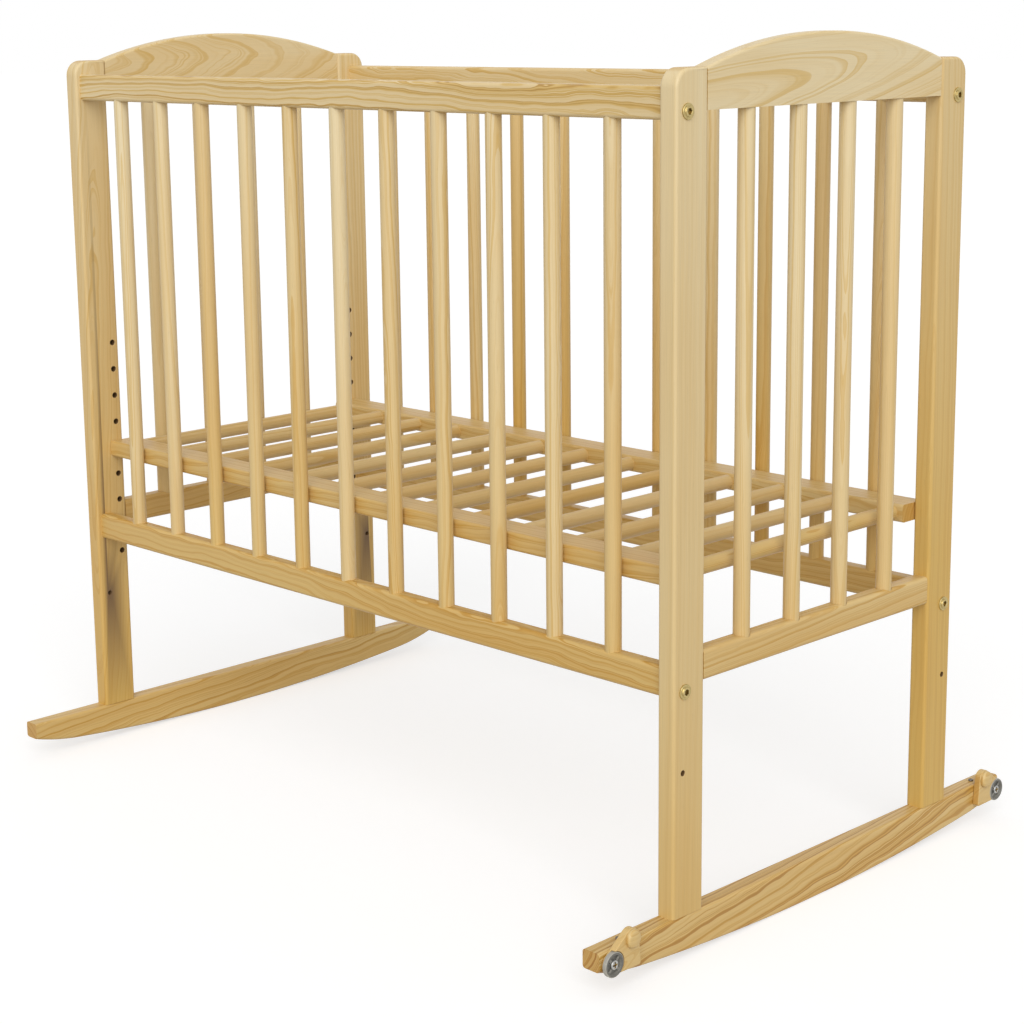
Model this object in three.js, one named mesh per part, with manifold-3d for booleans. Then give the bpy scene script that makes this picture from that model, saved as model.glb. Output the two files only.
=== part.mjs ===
import * as THREE from 'three';
import { mergeVertices } from 'three/addons/utils/BufferGeometryUtils.js';
import { ConvexGeometry } from 'three/addons/geometries/ConvexGeometry.js';
import Module from 'manifold-3d';

const wasm = await Module();
wasm.setup();

// A free-standing rocking crib of pine, in millimetres: X along it, Y across it, Z up from the floor.
// Heights in the frame are measured from the rockers' flat tops, on which the posts stand.

// Posts
const innerLength = 909;
const outerWidth = 446;
const postThick = 20.5;
const postWidth = 43;
const postHeight = 789;
const postEdge = 3.5;
const postTopRound = 17.5;

// Rails, all cut from one stock
const railThick = 18;
const railHeight = 30;
const railEdge = 4;
const longRailSetBack = 6;
const topRailDrop = 46; // from the posts' tops to the top rails' undersides
const bottomRailUnderside = 213;
const endRailUnderside = 225;

// Arched end boards
const endSetBack = 1;
const archSideHeight = 38; // at the posts, whose tops it meets
const archRise = 28.5;
const archEdge = 3;

// Slats
const slatRadius = 8.25;
const slatSeat = 12;
const longSlatCount = 11;
const endSlatCount = 4;
const endSlatPitch = 76.3;

// Adjustment holes for the bed base, in the posts' inner faces
const adjustRadius = 3;
const adjustDepth = 12;
const adjustCount = 9;
const adjustPitch = 32.4;
const adjustTop = 452;
const adjustInset = 8.9;
const freeHolesAboveBaseCount = 4;

// Free hole through each post, below the bottom rail
const lowerHoleRadius = 2.75;
const lowerHoleHeight = 142.5;
const lowerHoleInset = 13;

// Bed base
const baseRailWidth = 38;
const baseRailHeight = 19;
const baseRailEdge = 3;
const baseSideGap = 0.5;
const rungRadius = 8;
const rungCount = 13;
const rungEndInset = 14.4;
const rungSeat = 12;
const pinReach = 11;

// Rockers
const rockerLength = 650;
const rockerHeight = 43.5;
const rockerEdge = 3;
const rockerRadius = 2800;
const rockerTipLength = 60;
const rockerTipRadius = 290;

// Bolts and their barrel nuts
const boltRadius = 3;
const boltHeadRadius = 7.5;
const boltFlange = 1.6;
const boltFlangeEdge = 0.8;
const boltRimRadius = 5;
const boltRim = 1.2;
const boltRimEdge = 0.3;
const boltSocketRadius = 3;
const boltSocketDepth = 2.3;
const boltHeightInRail = 8;
const boltPastNut = 3;
const nutRadius = 5;
const nutLength = 13;
const nutInset = 28;

// Glued pegs that locate the boards in the posts
const pegRadius = 4;
const longPegReach = 10;
const endPegReach = 15;
const longPegHeightInRail = 22;
const railPegSpread = 14;
const archPegSpread = 18;

// Screws up through the rockers into the posts
const screwRadius = 2.5;
const screwHeadRadius = 5;
const screwHeadHeight = 3;
const screwHeadSink = 9;
const screwIntoPost = 45;

// Stops on the right rocker
const stopAxleFromTip = 13;
const stopAxleBelowTop = 12;
const stopThick = 7.3;
const stopTongue = 2.5;
const stopEyeRadius = 10;
const stopKnobRadius = 9.6;
const stopKnobAcross = 23.5;
const stopKnobUp = 18.5;
const stopHeelRadius = 2.5;
const stopHeelAcross = 33;
const stopHeelDown = 8;
const knobRadius = 9;
const knobProud = 4.9;
const knobEdge = 3;
const knobTenonRadius = 5;
const rollerRadius = 12.3;
const rollerThick = 4.6;
const rollerEdge = 0.8;
const rollerRim = 3.2;
const rollerDish = 2.4;
const rollerDraft = 0.4;
const rollerHubWall = 1;
const axleRadius = 2.5;
const axleHeadRadius = 4.6;
const axleHeadHeight = 1.8;
const axleHeadEdge = 0.9;
const axleIntoRocker = 16;
const topScrewFromTip = 37;
const topScrewRadius = 1.5;
const topScrewHeadRadius = 2.6;
const topScrewProud = 2;
const topScrewDepth = 14;

// Clearance between pieces that fit in or turn on each other, and the steps of round shapes
const clearance = 0.3;
const roundSides = 12;
const holeSides = 8;
const boltSides = 10;
const socketSides = 6;
const knobSides = 16;
const rollerSides = 24;
const edgeSteps = 2;
const cornerSteps = 5;
const rockerFacets = 9;
const tipFacets = 4;
const archFacets = 16;
const weldDistance = 1e-4;

// Places worked out from the dimensions above
const halfInner = innerLength / 2;
const outerEnd = halfInner + postThick;
const postX = halfInner + postThick / 2;
const postY = (outerWidth - postWidth) / 2;
const postInnerY = outerWidth / 2 - postWidth;
const longRailY = outerWidth / 2 - longRailSetBack - railThick / 2;
const endX = outerEnd - endSetBack - railThick / 2;
const postTop = rockerHeight + postHeight;
const topRailZ = postTop - topRailDrop + railHeight / 2;
const bottomRailZ = rockerHeight + bottomRailUnderside + railHeight / 2;
const endRailZ = rockerHeight + endRailUnderside + railHeight / 2;
const archZ = postTop - archSideHeight;
const longSlatGap = (innerLength - 2 * slatRadius * longSlatCount) / (longSlatCount + 1);
const longSlatPitch = longSlatGap + 2 * slatRadius;
const pinY = postInnerY + adjustInset;
const pinZ = rockerHeight + adjustTop - freeHolesAboveBaseCount * adjustPitch;
const baseOuterY = longRailY - railThick / 2 - baseSideGap;
const baseRailY = baseOuterY - baseRailWidth / 2;
const baseRailInnerY = baseOuterY - baseRailWidth;
const baseRailLength = innerLength - 2 * clearance;
const rungPitch = (baseRailLength - 2 * rungEndInset) / (rungCount - 1);
const stopY = rockerLength / 2 - stopAxleFromTip;
const stopZ = rockerHeight - stopAxleBelowTop;
const stopBack = outerEnd + clearance;
const stopFace = stopBack + stopThick;

const pine = new THREE.MeshStandardMaterial({ color: 0xdcb877, roughness: 0.5, metalness: 0 });
const brass = new THREE.MeshStandardMaterial({ color: 0xb08d3c, roughness: 0.35, metalness: 1 });
const steel = new THREE.MeshStandardMaterial({ color: 0x9a9b9c, roughness: 0.4, metalness: 1 });
const greyPlastic = new THREE.MeshStandardMaterial({ color: 0x6f7270, roughness: 0.5, metalness: 0 });

const axisX = new THREE.Vector3(1, 0, 0);
const axisY = new THREE.Vector3(0, 1, 0);
const axisZ = new THREE.Vector3(0, 0, 1);
const turnTo = {
  x: new THREE.Matrix4().makeBasis(axisY, axisZ, axisX),
  y: new THREE.Matrix4().makeBasis(axisZ, axisX, axisY),
  z: new THREE.Matrix4().makeBasis(axisX, axisY, axisZ),
};

// Extrudes a section along an axis, centred on the origin
function extrude(section, length, axis, edge = 0) {
  const geometry = new THREE.ExtrudeGeometry(section, {
    depth: length - 2 * edge,
    curveSegments: edgeSteps,
    bevelEnabled: edge > 0,
    bevelThickness: edge,
    bevelSize: edge,
    bevelOffset: -edge,
    bevelSegments: edgeSteps,
  });
  geometry.translate(0, 0, edge - length / 2);
  return geometry.applyMatrix4(turnTo[axis]);
}

function roundedRectangle(width, height, radius) {
  const x = width / 2 - radius;
  const y = height / 2 - radius;
  const shape = new THREE.Shape();
  shape.absarc(x, -y, radius, -Math.PI / 2, 0);
  shape.absarc(x, y, radius, 0, Math.PI / 2);
  shape.absarc(-x, y, radius, Math.PI / 2, Math.PI);
  shape.absarc(-x, -y, radius, Math.PI, 1.5 * Math.PI);
  return shape;
}

// A round bar along an axis, centred on the point
function rod(radius, length, axis, at = [0, 0, 0], sides = roundSides) {
  const geometry = new THREE.CylinderGeometry(radius, radius, length, sides);
  geometry.rotateX(Math.PI / 2);
  geometry.applyMatrix4(turnTo[axis]);
  return geometry.translate(...at);
}

// A turned piece whose profile of [radius, height] runs up the axis X from its foot
function turnedAlongX(profile, sides = roundSides) {
  const points = profile.map(([radius, height]) => new THREE.Vector2(radius, height));
  return new THREE.LatheGeometry(points, sides).rotateZ(-Math.PI / 2);
}

// Profile points of a rounded rim at a turned piece's face
function roundedRim(radius, face, edge) {
  return Array.from({ length: edgeSteps + 1 }, (unused, i) => {
    const angle = (i / edgeSteps) * Math.PI / 2;
    return [radius - edge * (1 - Math.cos(angle)), face - edge * (1 - Math.sin(angle))];
  });
}

function toSolid(geometry) {
  const bare = geometry.clone();
  bare.deleteAttribute('normal');
  bare.deleteAttribute('uv');
  const merged = mergeVertices(bare, weldDistance);
  return new wasm.Manifold(new wasm.Mesh({
    numProp: 3,
    vertProperties: merged.attributes.position.array,
    triVerts: Uint32Array.from(merged.index.array),
  }));
}

function toGeometry(solid) {
  const mesh = solid.getMesh();
  const geometry = new THREE.BufferGeometry();
  geometry.setAttribute('position', new THREE.BufferAttribute(mesh.vertProperties, 3));
  geometry.setIndex(new THREE.BufferAttribute(mesh.triVerts, 1));
  geometry.computeVertexNormals();
  return geometry;
}

const without = (body, cutters) => cutters.reduce((rest, cutter) => rest.subtract(toSolid(cutter)), body);
const joined = (body, extras) => extras.reduce((sum, extra) => sum.add(toSolid(extra)), body);

const crib = new THREE.Group();

function addPiece(parent, name, geometry, material, at = [0, 0, 0]) {
  const mesh = new THREE.Mesh(geometry, material);
  mesh.name = name;
  mesh.position.set(...at);
  parent.add(mesh);
  return mesh;
}

const ends = [['left', -1], ['right', 1]];
const sides = [['front', -1], ['back', 1]];

// Centres of equal steps about zero
function spread(count, pitch) {
  return Array.from({ length: count }, (unused, i) => (i - (count - 1) / 2) * pitch);
}

const longSlatPlaces = spread(longSlatCount, longSlatPitch);
const endSlatPlaces = spread(endSlatCount, endSlatPitch);
const rungPlaces = spread(rungCount, rungPitch);
const boltHeights = [
  ['top', topRailZ - railHeight / 2 + boltHeightInRail],
  ['bottom', bottomRailZ - railHeight / 2 + boltHeightInRail],
];
const longPegHeights = [topRailZ, bottomRailZ].map((z) => z - railHeight / 2 + longPegHeightInRail);
const endPegHeights = [
  ...spread(2, railPegSpread).map((z) => endRailZ + z),
  ...spread(2, archPegSpread).map((z) => archZ + archSideHeight / 2 + z),
];

// Post outline seen along X: only the outer top corner is rounded
function postOutline(side) {
  const half = postWidth / 2;
  const shape = new THREE.Shape();
  shape.moveTo(-half, rockerHeight);
  shape.lineTo(half, rockerHeight);
  for (let i = 0; i <= cornerSteps; i += 1) {
    const angle = (i / cornerSteps) * Math.PI / 2;
    const y = half - postTopRound * (1 - Math.cos(angle));
    shape.lineTo(y, postTop - postTopRound * (1 - Math.sin(angle)));
  }
  shape.lineTo(-half, postTop);
  const geometry = extrude(shape, postThick, 'x');
  return side > 0 ? geometry : geometry.rotateZ(Math.PI);
}

function post(end, side) {
  const bar = extrude(roundedRectangle(postThick, postWidth, postEdge), postHeight, 'z');
  bar.translate(0, 0, rockerHeight + postHeight / 2);
  const outline = toSolid(postOutline(side));
  const innerFace = -end * postThick / 2;
  const holes = [];
  for (let i = 0; i < adjustCount; i += 1) {
    const z = rockerHeight + adjustTop - i * adjustPitch;
    const y = side * (pinY - postY);
    holes.push(rod(adjustRadius + clearance, 2 * adjustDepth, 'x', [innerFace, y, z], holeSides));
  }
  const railLine = side * (longRailY - postY);
  for (const [, z] of boltHeights) {
    holes.push(rod(boltRadius + clearance, 2 * postThick, 'x', [0, railLine, z], holeSides));
  }
  for (const z of longPegHeights) {
    const depth = 2 * (longPegReach + clearance);
    holes.push(rod(pegRadius + clearance, depth, 'x', [innerFace, railLine, z], holeSides));
  }
  const boardLine = end * (endX - postX);
  for (const z of endPegHeights) {
    const depth = 2 * (endPegReach + clearance);
    const at = [boardLine, -side * postWidth / 2, z];
    holes.push(rod(pegRadius + clearance, depth, 'y', at, holeSides));
  }
  const lowerAt = [0, side * (postWidth / 2 - lowerHoleInset), rockerHeight + lowerHoleHeight];
  holes.push(rod(lowerHoleRadius, 2 * postThick, 'x', lowerAt, holeSides));
  const screwDepth = 2 * (screwIntoPost + clearance);
  holes.push(rod(screwRadius + clearance, screwDepth, 'z', [0, 0, rockerHeight], holeSides));
  return toGeometry(without(toSolid(bar).intersect(outline), holes));
}

// A long rail with a bolt hole, a barrel nut hole and a locating peg at each end
function longRail(centreZ) {
  const underside = centreZ - railHeight / 2;
  const boltZ = underside + boltHeightInRail;
  const bar = extrude(roundedRectangle(railThick, railHeight, railEdge), innerLength, 'x');
  bar.translate(0, 0, centreZ);
  const cuts = [];
  const pegs = [];
  for (const [, end] of ends) {
    const faceX = end * halfInner;
    const boltDepth = 2 * (nutInset + nutRadius + boltPastNut + clearance);
    cuts.push(rod(boltRadius + clearance, boltDepth, 'x', [faceX, 0, boltZ], holeSides));
    const nutTop = boltHeightInRail + nutLength / 2 + clearance;
    const nutX = end * (halfInner - nutInset);
    cuts.push(rod(nutRadius + clearance, 2 * nutTop, 'z', [nutX, 0, underside]));
    const pegAt = [faceX, 0, underside + longPegHeightInRail];
    pegs.push(rod(pegRadius, 2 * longPegReach, 'x', pegAt, holeSides));
  }
  return joined(without(toSolid(bar), cuts), pegs);
}

function topRail() {
  const underside = topRailZ - railHeight / 2;
  const depth = 2 * slatSeat;
  const seats = longSlatPlaces.map((x) => rod(slatRadius + clearance, depth, 'z', [x, 0, underside]));
  return toGeometry(without(longRail(topRailZ), seats));
}

// The bottom rail with its slats glued in, up to their seats in the top rail
function slattedRail() {
  const foot = bottomRailZ;
  const head = topRailZ - railHeight / 2 + slatSeat - clearance;
  const middle = (foot + head) / 2;
  const slats = longSlatPlaces.map((x) => rod(slatRadius, head - foot, 'z', [x, 0, middle]));
  return toGeometry(joined(longRail(bottomRailZ), slats));
}

function endPegs(z) {
  const length = 2 * (postInnerY + endPegReach);
  return rod(pegRadius, length, 'y', [0, 0, z], holeSides);
}

function slatSeats(z) {
  return endSlatPlaces.map((y) => rod(slatRadius + clearance, 2 * slatSeat, 'z', [0, y, z]));
}

// An end bottom rail between two posts, with its locating pegs
function endRail() {
  const bar = extrude(roundedRectangle(railHeight, railThick, railEdge), 2 * postInnerY, 'y');
  bar.translate(0, 0, endRailZ);
  const pegs = spread(2, railPegSpread).map((z) => endPegs(endRailZ + z));
  return toGeometry(without(joined(toSolid(bar), pegs), slatSeats(endRailZ + railHeight / 2)));
}

// The arch meets the posts' flat tops and rises to its middle
function archedBoard() {
  const radius = (postInnerY ** 2 + archRise ** 2) / (2 * archRise);
  const centreZ = postTop + archRise - radius;
  const halfAngle = Math.asin((postInnerY + postEdge) / radius);
  const shape = new THREE.Shape();
  shape.moveTo(-radius * Math.sin(halfAngle), archZ);
  shape.lineTo(radius * Math.sin(halfAngle), archZ);
  for (let i = 0; i <= archFacets; i += 1) {
    const angle = halfAngle * (1 - 2 * i / archFacets);
    shape.lineTo(radius * Math.sin(angle), centreZ + radius * Math.cos(angle));
  }
  const board = extrude(shape, railThick, 'x', archEdge);
  const height = archSideHeight + archRise;
  const between = new THREE.BoxGeometry(2 * railThick, 2 * postInnerY, 2 * height);
  between.translate(0, 0, archZ + height / 2);
  const body = toSolid(board).intersect(toSolid(between));
  const pegs = spread(2, archPegSpread).map((z) => endPegs(archZ + archSideHeight / 2 + z));
  return toGeometry(without(joined(body, pegs), slatSeats(archZ)));
}

function endSlat() {
  const foot = endRailZ + railHeight / 2 - slatSeat + clearance;
  const head = archZ + slatSeat - clearance;
  return rod(slatRadius, head - foot, 'z', [0, 0, (foot + head) / 2]);
}

// A bed base rail, notched from below at each end to drop over its pins
function baseRail(side) {
  const section = roundedRectangle(baseRailWidth, baseRailHeight, baseRailEdge);
  const bar = extrude(section, baseRailLength, 'x');
  bar.translate(0, side * baseRailY, pinZ);
  const cuts = [];
  for (const [, end] of ends) {
    const notchLength = 2 * (pinReach + clearance);
    const notchWidth = 2 * (adjustRadius + clearance);
    const slot = new THREE.BoxGeometry(notchLength, notchWidth, baseRailHeight);
    cuts.push(slot.translate(end * halfInner, side * pinY, pinZ - baseRailHeight / 2));
    cuts.push(rod(notchWidth / 2, notchLength, 'x', [end * halfInner, side * pinY, pinZ], roundSides));
  }
  return without(toSolid(bar), cuts);
}

function frontBaseRail() {
  const depth = 2 * rungSeat;
  const seats = rungPlaces.map((x) => rod(rungRadius + clearance, depth, 'y', [x, -baseRailInnerY, pinZ]));
  return toGeometry(without(baseRail(-1), seats));
}

// The back rail with the rungs glued in, up to their seats in the front rail
function rungedBaseRail() {
  const front = -baseRailInnerY - rungSeat + clearance;
  const back = baseRailInnerY + rungSeat;
  const middle = (front + back) / 2;
  const rungs = rungPlaces.map((x) => rod(rungRadius, back - front, 'y', [x, middle, pinZ]));
  return toGeometry(joined(baseRail(1), rungs));
}

function basePin(end) {
  const length = pinReach + adjustDepth - clearance;
  const middle = end * (length / 2 - pinReach);
  return rod(adjustRadius, length, 'x', [middle, 0, 0], holeSides);
}

// Height of the rocker's underside: one wide arc whose middle facet lies on the floor, and upturned tips
function rockerUnderside() {
  const arcHalf = rockerLength / 2 - rockerTipLength;
  const arcRise = (y) => rockerRadius - Math.sqrt(rockerRadius ** 2 - y ** 2);
  const floorRise = arcRise(arcHalf / rockerFacets);
  const points = [];
  for (let i = 0; i <= rockerFacets; i += 1) {
    const y = arcHalf * (2 * i / rockerFacets - 1);
    points.push([y, arcRise(y) - floorRise]);
  }
  const tipStart = Math.asin(arcHalf / rockerRadius);
  const centreY = arcHalf - rockerTipRadius * Math.sin(tipStart);
  const centreZ = arcRise(arcHalf) - floorRise + rockerTipRadius * Math.cos(tipStart);
  const tipEnd = Math.asin((rockerLength / 2 - centreY) / rockerTipRadius);
  for (let i = 1; i <= tipFacets; i += 1) {
    const angle = tipStart + (tipEnd - tipStart) * i / tipFacets;
    const y = centreY + rockerTipRadius * Math.sin(angle);
    const z = centreZ - rockerTipRadius * Math.cos(angle);
    points.push([y, z]);
    points.unshift([-y, z]);
  }
  return points;
}

function heightAt(outline, y) {
  const next = outline.findIndex(([pointY]) => pointY > y);
  const [y0, z0] = outline[next - 1];
  const [y1, z1] = outline[next];
  return z0 + (z1 - z0) * (y - y0) / (y1 - y0);
}

const underside = rockerUnderside();
const screwHeadZ = heightAt(underside, postY) + screwHeadSink;

function rocker(end) {
  const top = [[rockerLength / 2, rockerHeight], [-rockerLength / 2, rockerHeight]];
  const shape = new THREE.Shape([...underside, ...top].map(([y, z]) => new THREE.Vector2(y, z)));
  const body = toSolid(extrude(shape, postThick, 'x', rockerEdge));
  const cuts = [];
  for (const [, side] of sides) {
    const y = side * postY;
    cuts.push(rod(screwRadius + clearance, 3 * rockerHeight, 'z', [0, y, 0], holeSides));
    cuts.push(rod(screwHeadRadius + clearance, 2 * screwHeadZ, 'z', [0, y, 0]));
    if (end > 0) {
      const axleDepth = 2 * (axleIntoRocker + clearance);
      const axleAt = [postThick / 2, side * stopY, stopZ];
      cuts.push(rod(axleRadius + clearance, axleDepth, 'x', axleAt, holeSides));
      const topAt = [0, side * (rockerLength / 2 - topScrewFromTip), rockerHeight];
      const topDepth = 2 * (topScrewDepth + clearance);
      cuts.push(rod(topScrewRadius + clearance, topDepth, 'z', topAt, holeSides));
    }
  }
  return toGeometry(without(body, cuts));
}

// Flanged bolt with a hexagon socket in its raised rim; its flange's back is at zero
function bolt() {
  const shank = postThick + nutInset + nutRadius + boltPastNut;
  const head = boltFlange + boltRim;
  const turned = turnedAlongX([
    [0, -shank],
    [boltRadius, -shank],
    [boltRadius, 0],
    [boltHeadRadius, 0],
    [boltHeadRadius, boltFlange - boltFlangeEdge],
    [boltHeadRadius - boltFlangeEdge, boltFlange],
    [boltRimRadius, boltFlange],
    [boltRimRadius, head - boltRimEdge],
    [boltRimRadius - boltRimEdge, head],
    [0, head],
  ], boltSides);
  const socket = rod(boltSocketRadius, 2 * boltSocketDepth, 'x', [head, 0, 0], socketSides);
  return toGeometry(without(toSolid(turned), [socket]));
}

// Upright cross dowel with a hole across it for the bolt
function barrelNut() {
  const cross = rod(boltRadius + clearance, 4 * nutRadius, 'x', [0, 0, 0], holeSides);
  return toGeometry(without(toSolid(rod(nutRadius, nutLength, 'z')), [cross]));
}

// The shank starts in the middle of the head
function rockerScrew() {
  const top = rockerHeight + screwIntoPost;
  const headMiddle = screwHeadZ - screwHeadHeight / 2;
  const shank = rod(screwRadius, top - headMiddle, 'z', [0, 0, (top + headMiddle) / 2], holeSides);
  const head = rod(screwHeadRadius, screwHeadHeight, 'z', [0, 0, headMiddle]);
  return toGeometry(joined(toSolid(head), [shank]));
}

// Points of a circle across X, for the outline of a stop block
function ring(radius, x, y, z, steps) {
  return Array.from({ length: steps }, (unused, i) => {
    const angle = 2 * Math.PI * i / steps;
    return new THREE.Vector3(x, y + radius * Math.cos(angle), z + radius * Math.sin(angle));
  });
}

// Stop block about its axle: an eye at the axle, a round end at the knob and a heel that meets the floor
function stopBlock(side) {
  const points = [];
  for (const x of [0, stopThick]) {
    points.push(...ring(stopEyeRadius, x, 0, 0, rollerSides));
    points.push(...ring(stopKnobRadius, x, -side * stopKnobAcross, stopKnobUp, rollerSides));
    points.push(...ring(stopHeelRadius, x, -side * stopHeelAcross, -stopHeelDown, rollerSides));
  }
  const recessFloor = stopThick - stopTongue;
  const recess = rod(rollerRadius + 2 * clearance, 2 * recessFloor, 'x', [stopThick, 0, 0], rollerSides);
  const bore = rod(axleRadius + clearance, 4 * stopThick, 'x', [0, 0, 0], holeSides);
  const knobAt = [0, -side * stopKnobAcross, stopKnobUp];
  const knobBore = rod(knobTenonRadius + clearance, 4 * stopThick, 'x', knobAt, knobSides);
  return toGeometry(without(toSolid(new ConvexGeometry(points)), [recess, bore, knobBore]));
}

// Knob with a tenon glued into the block; its shoulder is at zero
function stopKnob() {
  const tenon = stopThick - clearance;
  return turnedAlongX([
    [0, -tenon],
    [knobTenonRadius, -tenon],
    [knobTenonRadius, 0],
    [knobRadius, 0],
    ...roundedRim(knobRadius, knobProud, knobEdge),
    [0, knobProud],
  ], knobSides);
}

// Roller with a dished face; its back is at zero
function roller() {
  const bore = axleRadius + clearance;
  const hub = rollerThick - axleHeadHeight;
  return turnedAlongX([
    [bore, 0],
    [rollerRadius - rollerEdge, 0],
    [rollerRadius, rollerEdge],
    [rollerRadius, rollerThick - rollerEdge],
    [rollerRadius - rollerEdge, rollerThick],
    [rollerRadius - rollerRim, rollerThick],
    [rollerRadius - rollerRim - rollerDraft, rollerThick - rollerDish],
    [axleHeadRadius + rollerHubWall, rollerThick - rollerDish],
    [axleHeadRadius + rollerHubWall - rollerDraft, hub],
    [bore, hub],
    [bore, 0],
  ], rollerSides);
}

// Screw that the stop block and the roller turn on; the rocker's face is at zero
function axleScrew() {
  const hub = rollerThick - axleHeadHeight;
  const headBack = clearance + stopTongue + clearance + hub + clearance;
  const headFront = headBack + axleHeadHeight;
  return turnedAlongX([
    [0, -axleIntoRocker],
    [axleRadius, -axleIntoRocker],
    [axleRadius, headBack],
    [axleHeadRadius, headBack],
    [axleHeadRadius, headFront - axleHeadEdge],
    [axleHeadRadius - axleHeadEdge, headFront],
    [0, headFront],
  ], holeSides);
}

function topScrew() {
  const headMiddle = topScrewProud / 2;
  const length = topScrewDepth + headMiddle;
  const shank = rod(topScrewRadius, length, 'z', [0, 0, headMiddle - length / 2], holeSides);
  const head = rod(topScrewHeadRadius, topScrewProud, 'z', [0, 0, headMiddle], holeSides);
  return toGeometry(joined(toSolid(head), [shank]));
}

// Posts with what passes through them
const boltGeometry = bolt();
const nutGeometry = barrelNut();
const rockerScrewGeometry = rockerScrew();
for (const [endName, end] of ends) {
  for (const [sideName, side] of sides) {
    const corner = `${sideName}_${endName}`;
    addPiece(crib, `post_${corner}`, post(end, side), pine, [end * postX, side * postY, 0]);
    addPiece(crib, `rocker_screw_${corner}`, rockerScrewGeometry, steel, [end * postX, side * postY, 0]);
    addPiece(crib, `base_pin_${corner}`, basePin(end), steel, [end * halfInner, side * pinY, pinZ]);
    for (const [level, z] of boltHeights) {
      const boltAt = [end * outerEnd, side * longRailY, z];
      const placed = addPiece(crib, `bolt_${corner}_${level}`, boltGeometry, brass, boltAt);
      placed.rotation.z = end > 0 ? 0 : Math.PI;
      const nutAt = [end * (halfInner - nutInset), side * longRailY, z];
      addPiece(crib, `barrel_nut_${corner}_${level}`, nutGeometry, steel, nutAt);
    }
  }
}

// The two long sides
const topRailGeometry = topRail();
const slattedRailGeometry = slattedRail();
for (const [sideName, side] of sides) {
  addPiece(crib, `top_rail_${sideName}`, topRailGeometry, pine, [0, side * longRailY, 0]);
  addPiece(crib, `slatted_rail_${sideName}`, slattedRailGeometry, pine, [0, side * longRailY, 0]);
}

// The two ends
const endRailGeometry = endRail();
const archedBoardGeometry = archedBoard();
const endSlatGeometry = endSlat();
for (const [endName, end] of ends) {
  addPiece(crib, `end_rail_${endName}`, endRailGeometry, pine, [end * endX, 0, 0]);
  addPiece(crib, `arched_board_${endName}`, archedBoardGeometry, pine, [end * endX, 0, 0]);
  endSlatPlaces.forEach((y, i) => {
    addPiece(crib, `end_slat_${endName}_${i + 1}`, endSlatGeometry, pine, [end * endX, y, 0]);
  });
  addPiece(crib, `rocker_${endName}`, rocker(end), pine, [end * postX, 0, 0]);
}

// The bed base
const bedBase = new THREE.Group();
addPiece(bedBase, 'base_rail_front', frontBaseRail(), pine);
addPiece(bedBase, 'base_rail_back', rungedBaseRail(), pine);
crib.add(bedBase);

// The stops at the right rocker's two ends
const knobGeometry = stopKnob();
const rollerGeometry = roller();
const axleGeometry = axleScrew();
const topScrewGeometry = topScrew();
for (const [sideName, side] of sides) {
  const stop = new THREE.Group();
  stop.position.set(stopBack, side * stopY, stopZ);
  addPiece(stop, `stop_block_${sideName}`, stopBlock(side), pine);
  const knobAt = [stopThick, -side * stopKnobAcross, stopKnobUp];
  addPiece(stop, `stop_knob_${sideName}`, knobGeometry, pine, knobAt);
  addPiece(stop, `roller_${sideName}`, rollerGeometry, greyPlastic, [stopTongue + clearance, 0, 0]);
  addPiece(stop, `axle_screw_${sideName}`, axleGeometry, steel, [-clearance, 0, 0]);
  crib.add(stop);
  const topScrewAt = [postX, side * (rockerLength / 2 - topScrewFromTip), rockerHeight];
  addPiece(crib, `top_screw_${sideName}`, topScrewGeometry, steel, topScrewAt);
}

// The knobs stand out at the right end only, and the origin is under the middle of the whole
crib.position.x = -(stopFace + knobProud - outerEnd) / 2;

export default crib;
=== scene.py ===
import math

import bmesh
import bpy
from mathutils import Matrix, Vector
from mathutils.geometry import convex_hull_2d


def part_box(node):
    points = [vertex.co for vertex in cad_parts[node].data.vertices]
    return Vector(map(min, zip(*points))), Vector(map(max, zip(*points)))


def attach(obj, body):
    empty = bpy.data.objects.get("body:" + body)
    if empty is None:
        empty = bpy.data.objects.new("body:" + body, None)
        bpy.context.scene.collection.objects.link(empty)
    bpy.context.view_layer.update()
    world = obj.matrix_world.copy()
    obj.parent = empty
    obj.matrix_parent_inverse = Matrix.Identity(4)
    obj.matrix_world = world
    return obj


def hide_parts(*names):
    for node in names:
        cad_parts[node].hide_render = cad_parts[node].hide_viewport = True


# A free-standing rocking crib of clear-lacquered pine. All shapes are drawn in millimetres and
# brought to metres when a piece is finished.

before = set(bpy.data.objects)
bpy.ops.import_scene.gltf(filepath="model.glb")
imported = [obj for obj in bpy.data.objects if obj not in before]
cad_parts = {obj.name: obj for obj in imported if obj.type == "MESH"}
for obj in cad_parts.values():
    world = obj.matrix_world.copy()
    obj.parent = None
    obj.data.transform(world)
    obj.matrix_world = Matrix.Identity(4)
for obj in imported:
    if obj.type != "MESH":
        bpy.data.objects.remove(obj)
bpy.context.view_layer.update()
mm = 0.001
print("frame loaded:", len(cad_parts), "nodes")

sides = (("Front", -1), ("Back", 1))
ends = (("Left", -1), ("Right", 1))


def boxOf(node):  # lowest and highest corner of a node, in millimetres
    low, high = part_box(node)
    return low / mm, high / mm


def middleOf(node):
    low, high = boxOf(node)
    return (low + high) / 2


# Camera

camera = {
    "place": (1.70735, -1.6538, 0.8798),
    "azimuth": 45.89,  # degrees round from the near long side
    "elevation": 11.339,
    "roll": -0.745,
    "sensor": 36.0,
    "imagePixels": 1024,
    "focalPixels": 2145.4,
    "axisPixels": (490.8, 444.6),  # where the optical axis meets the image
    "farthest": 100.0,
}


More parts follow.
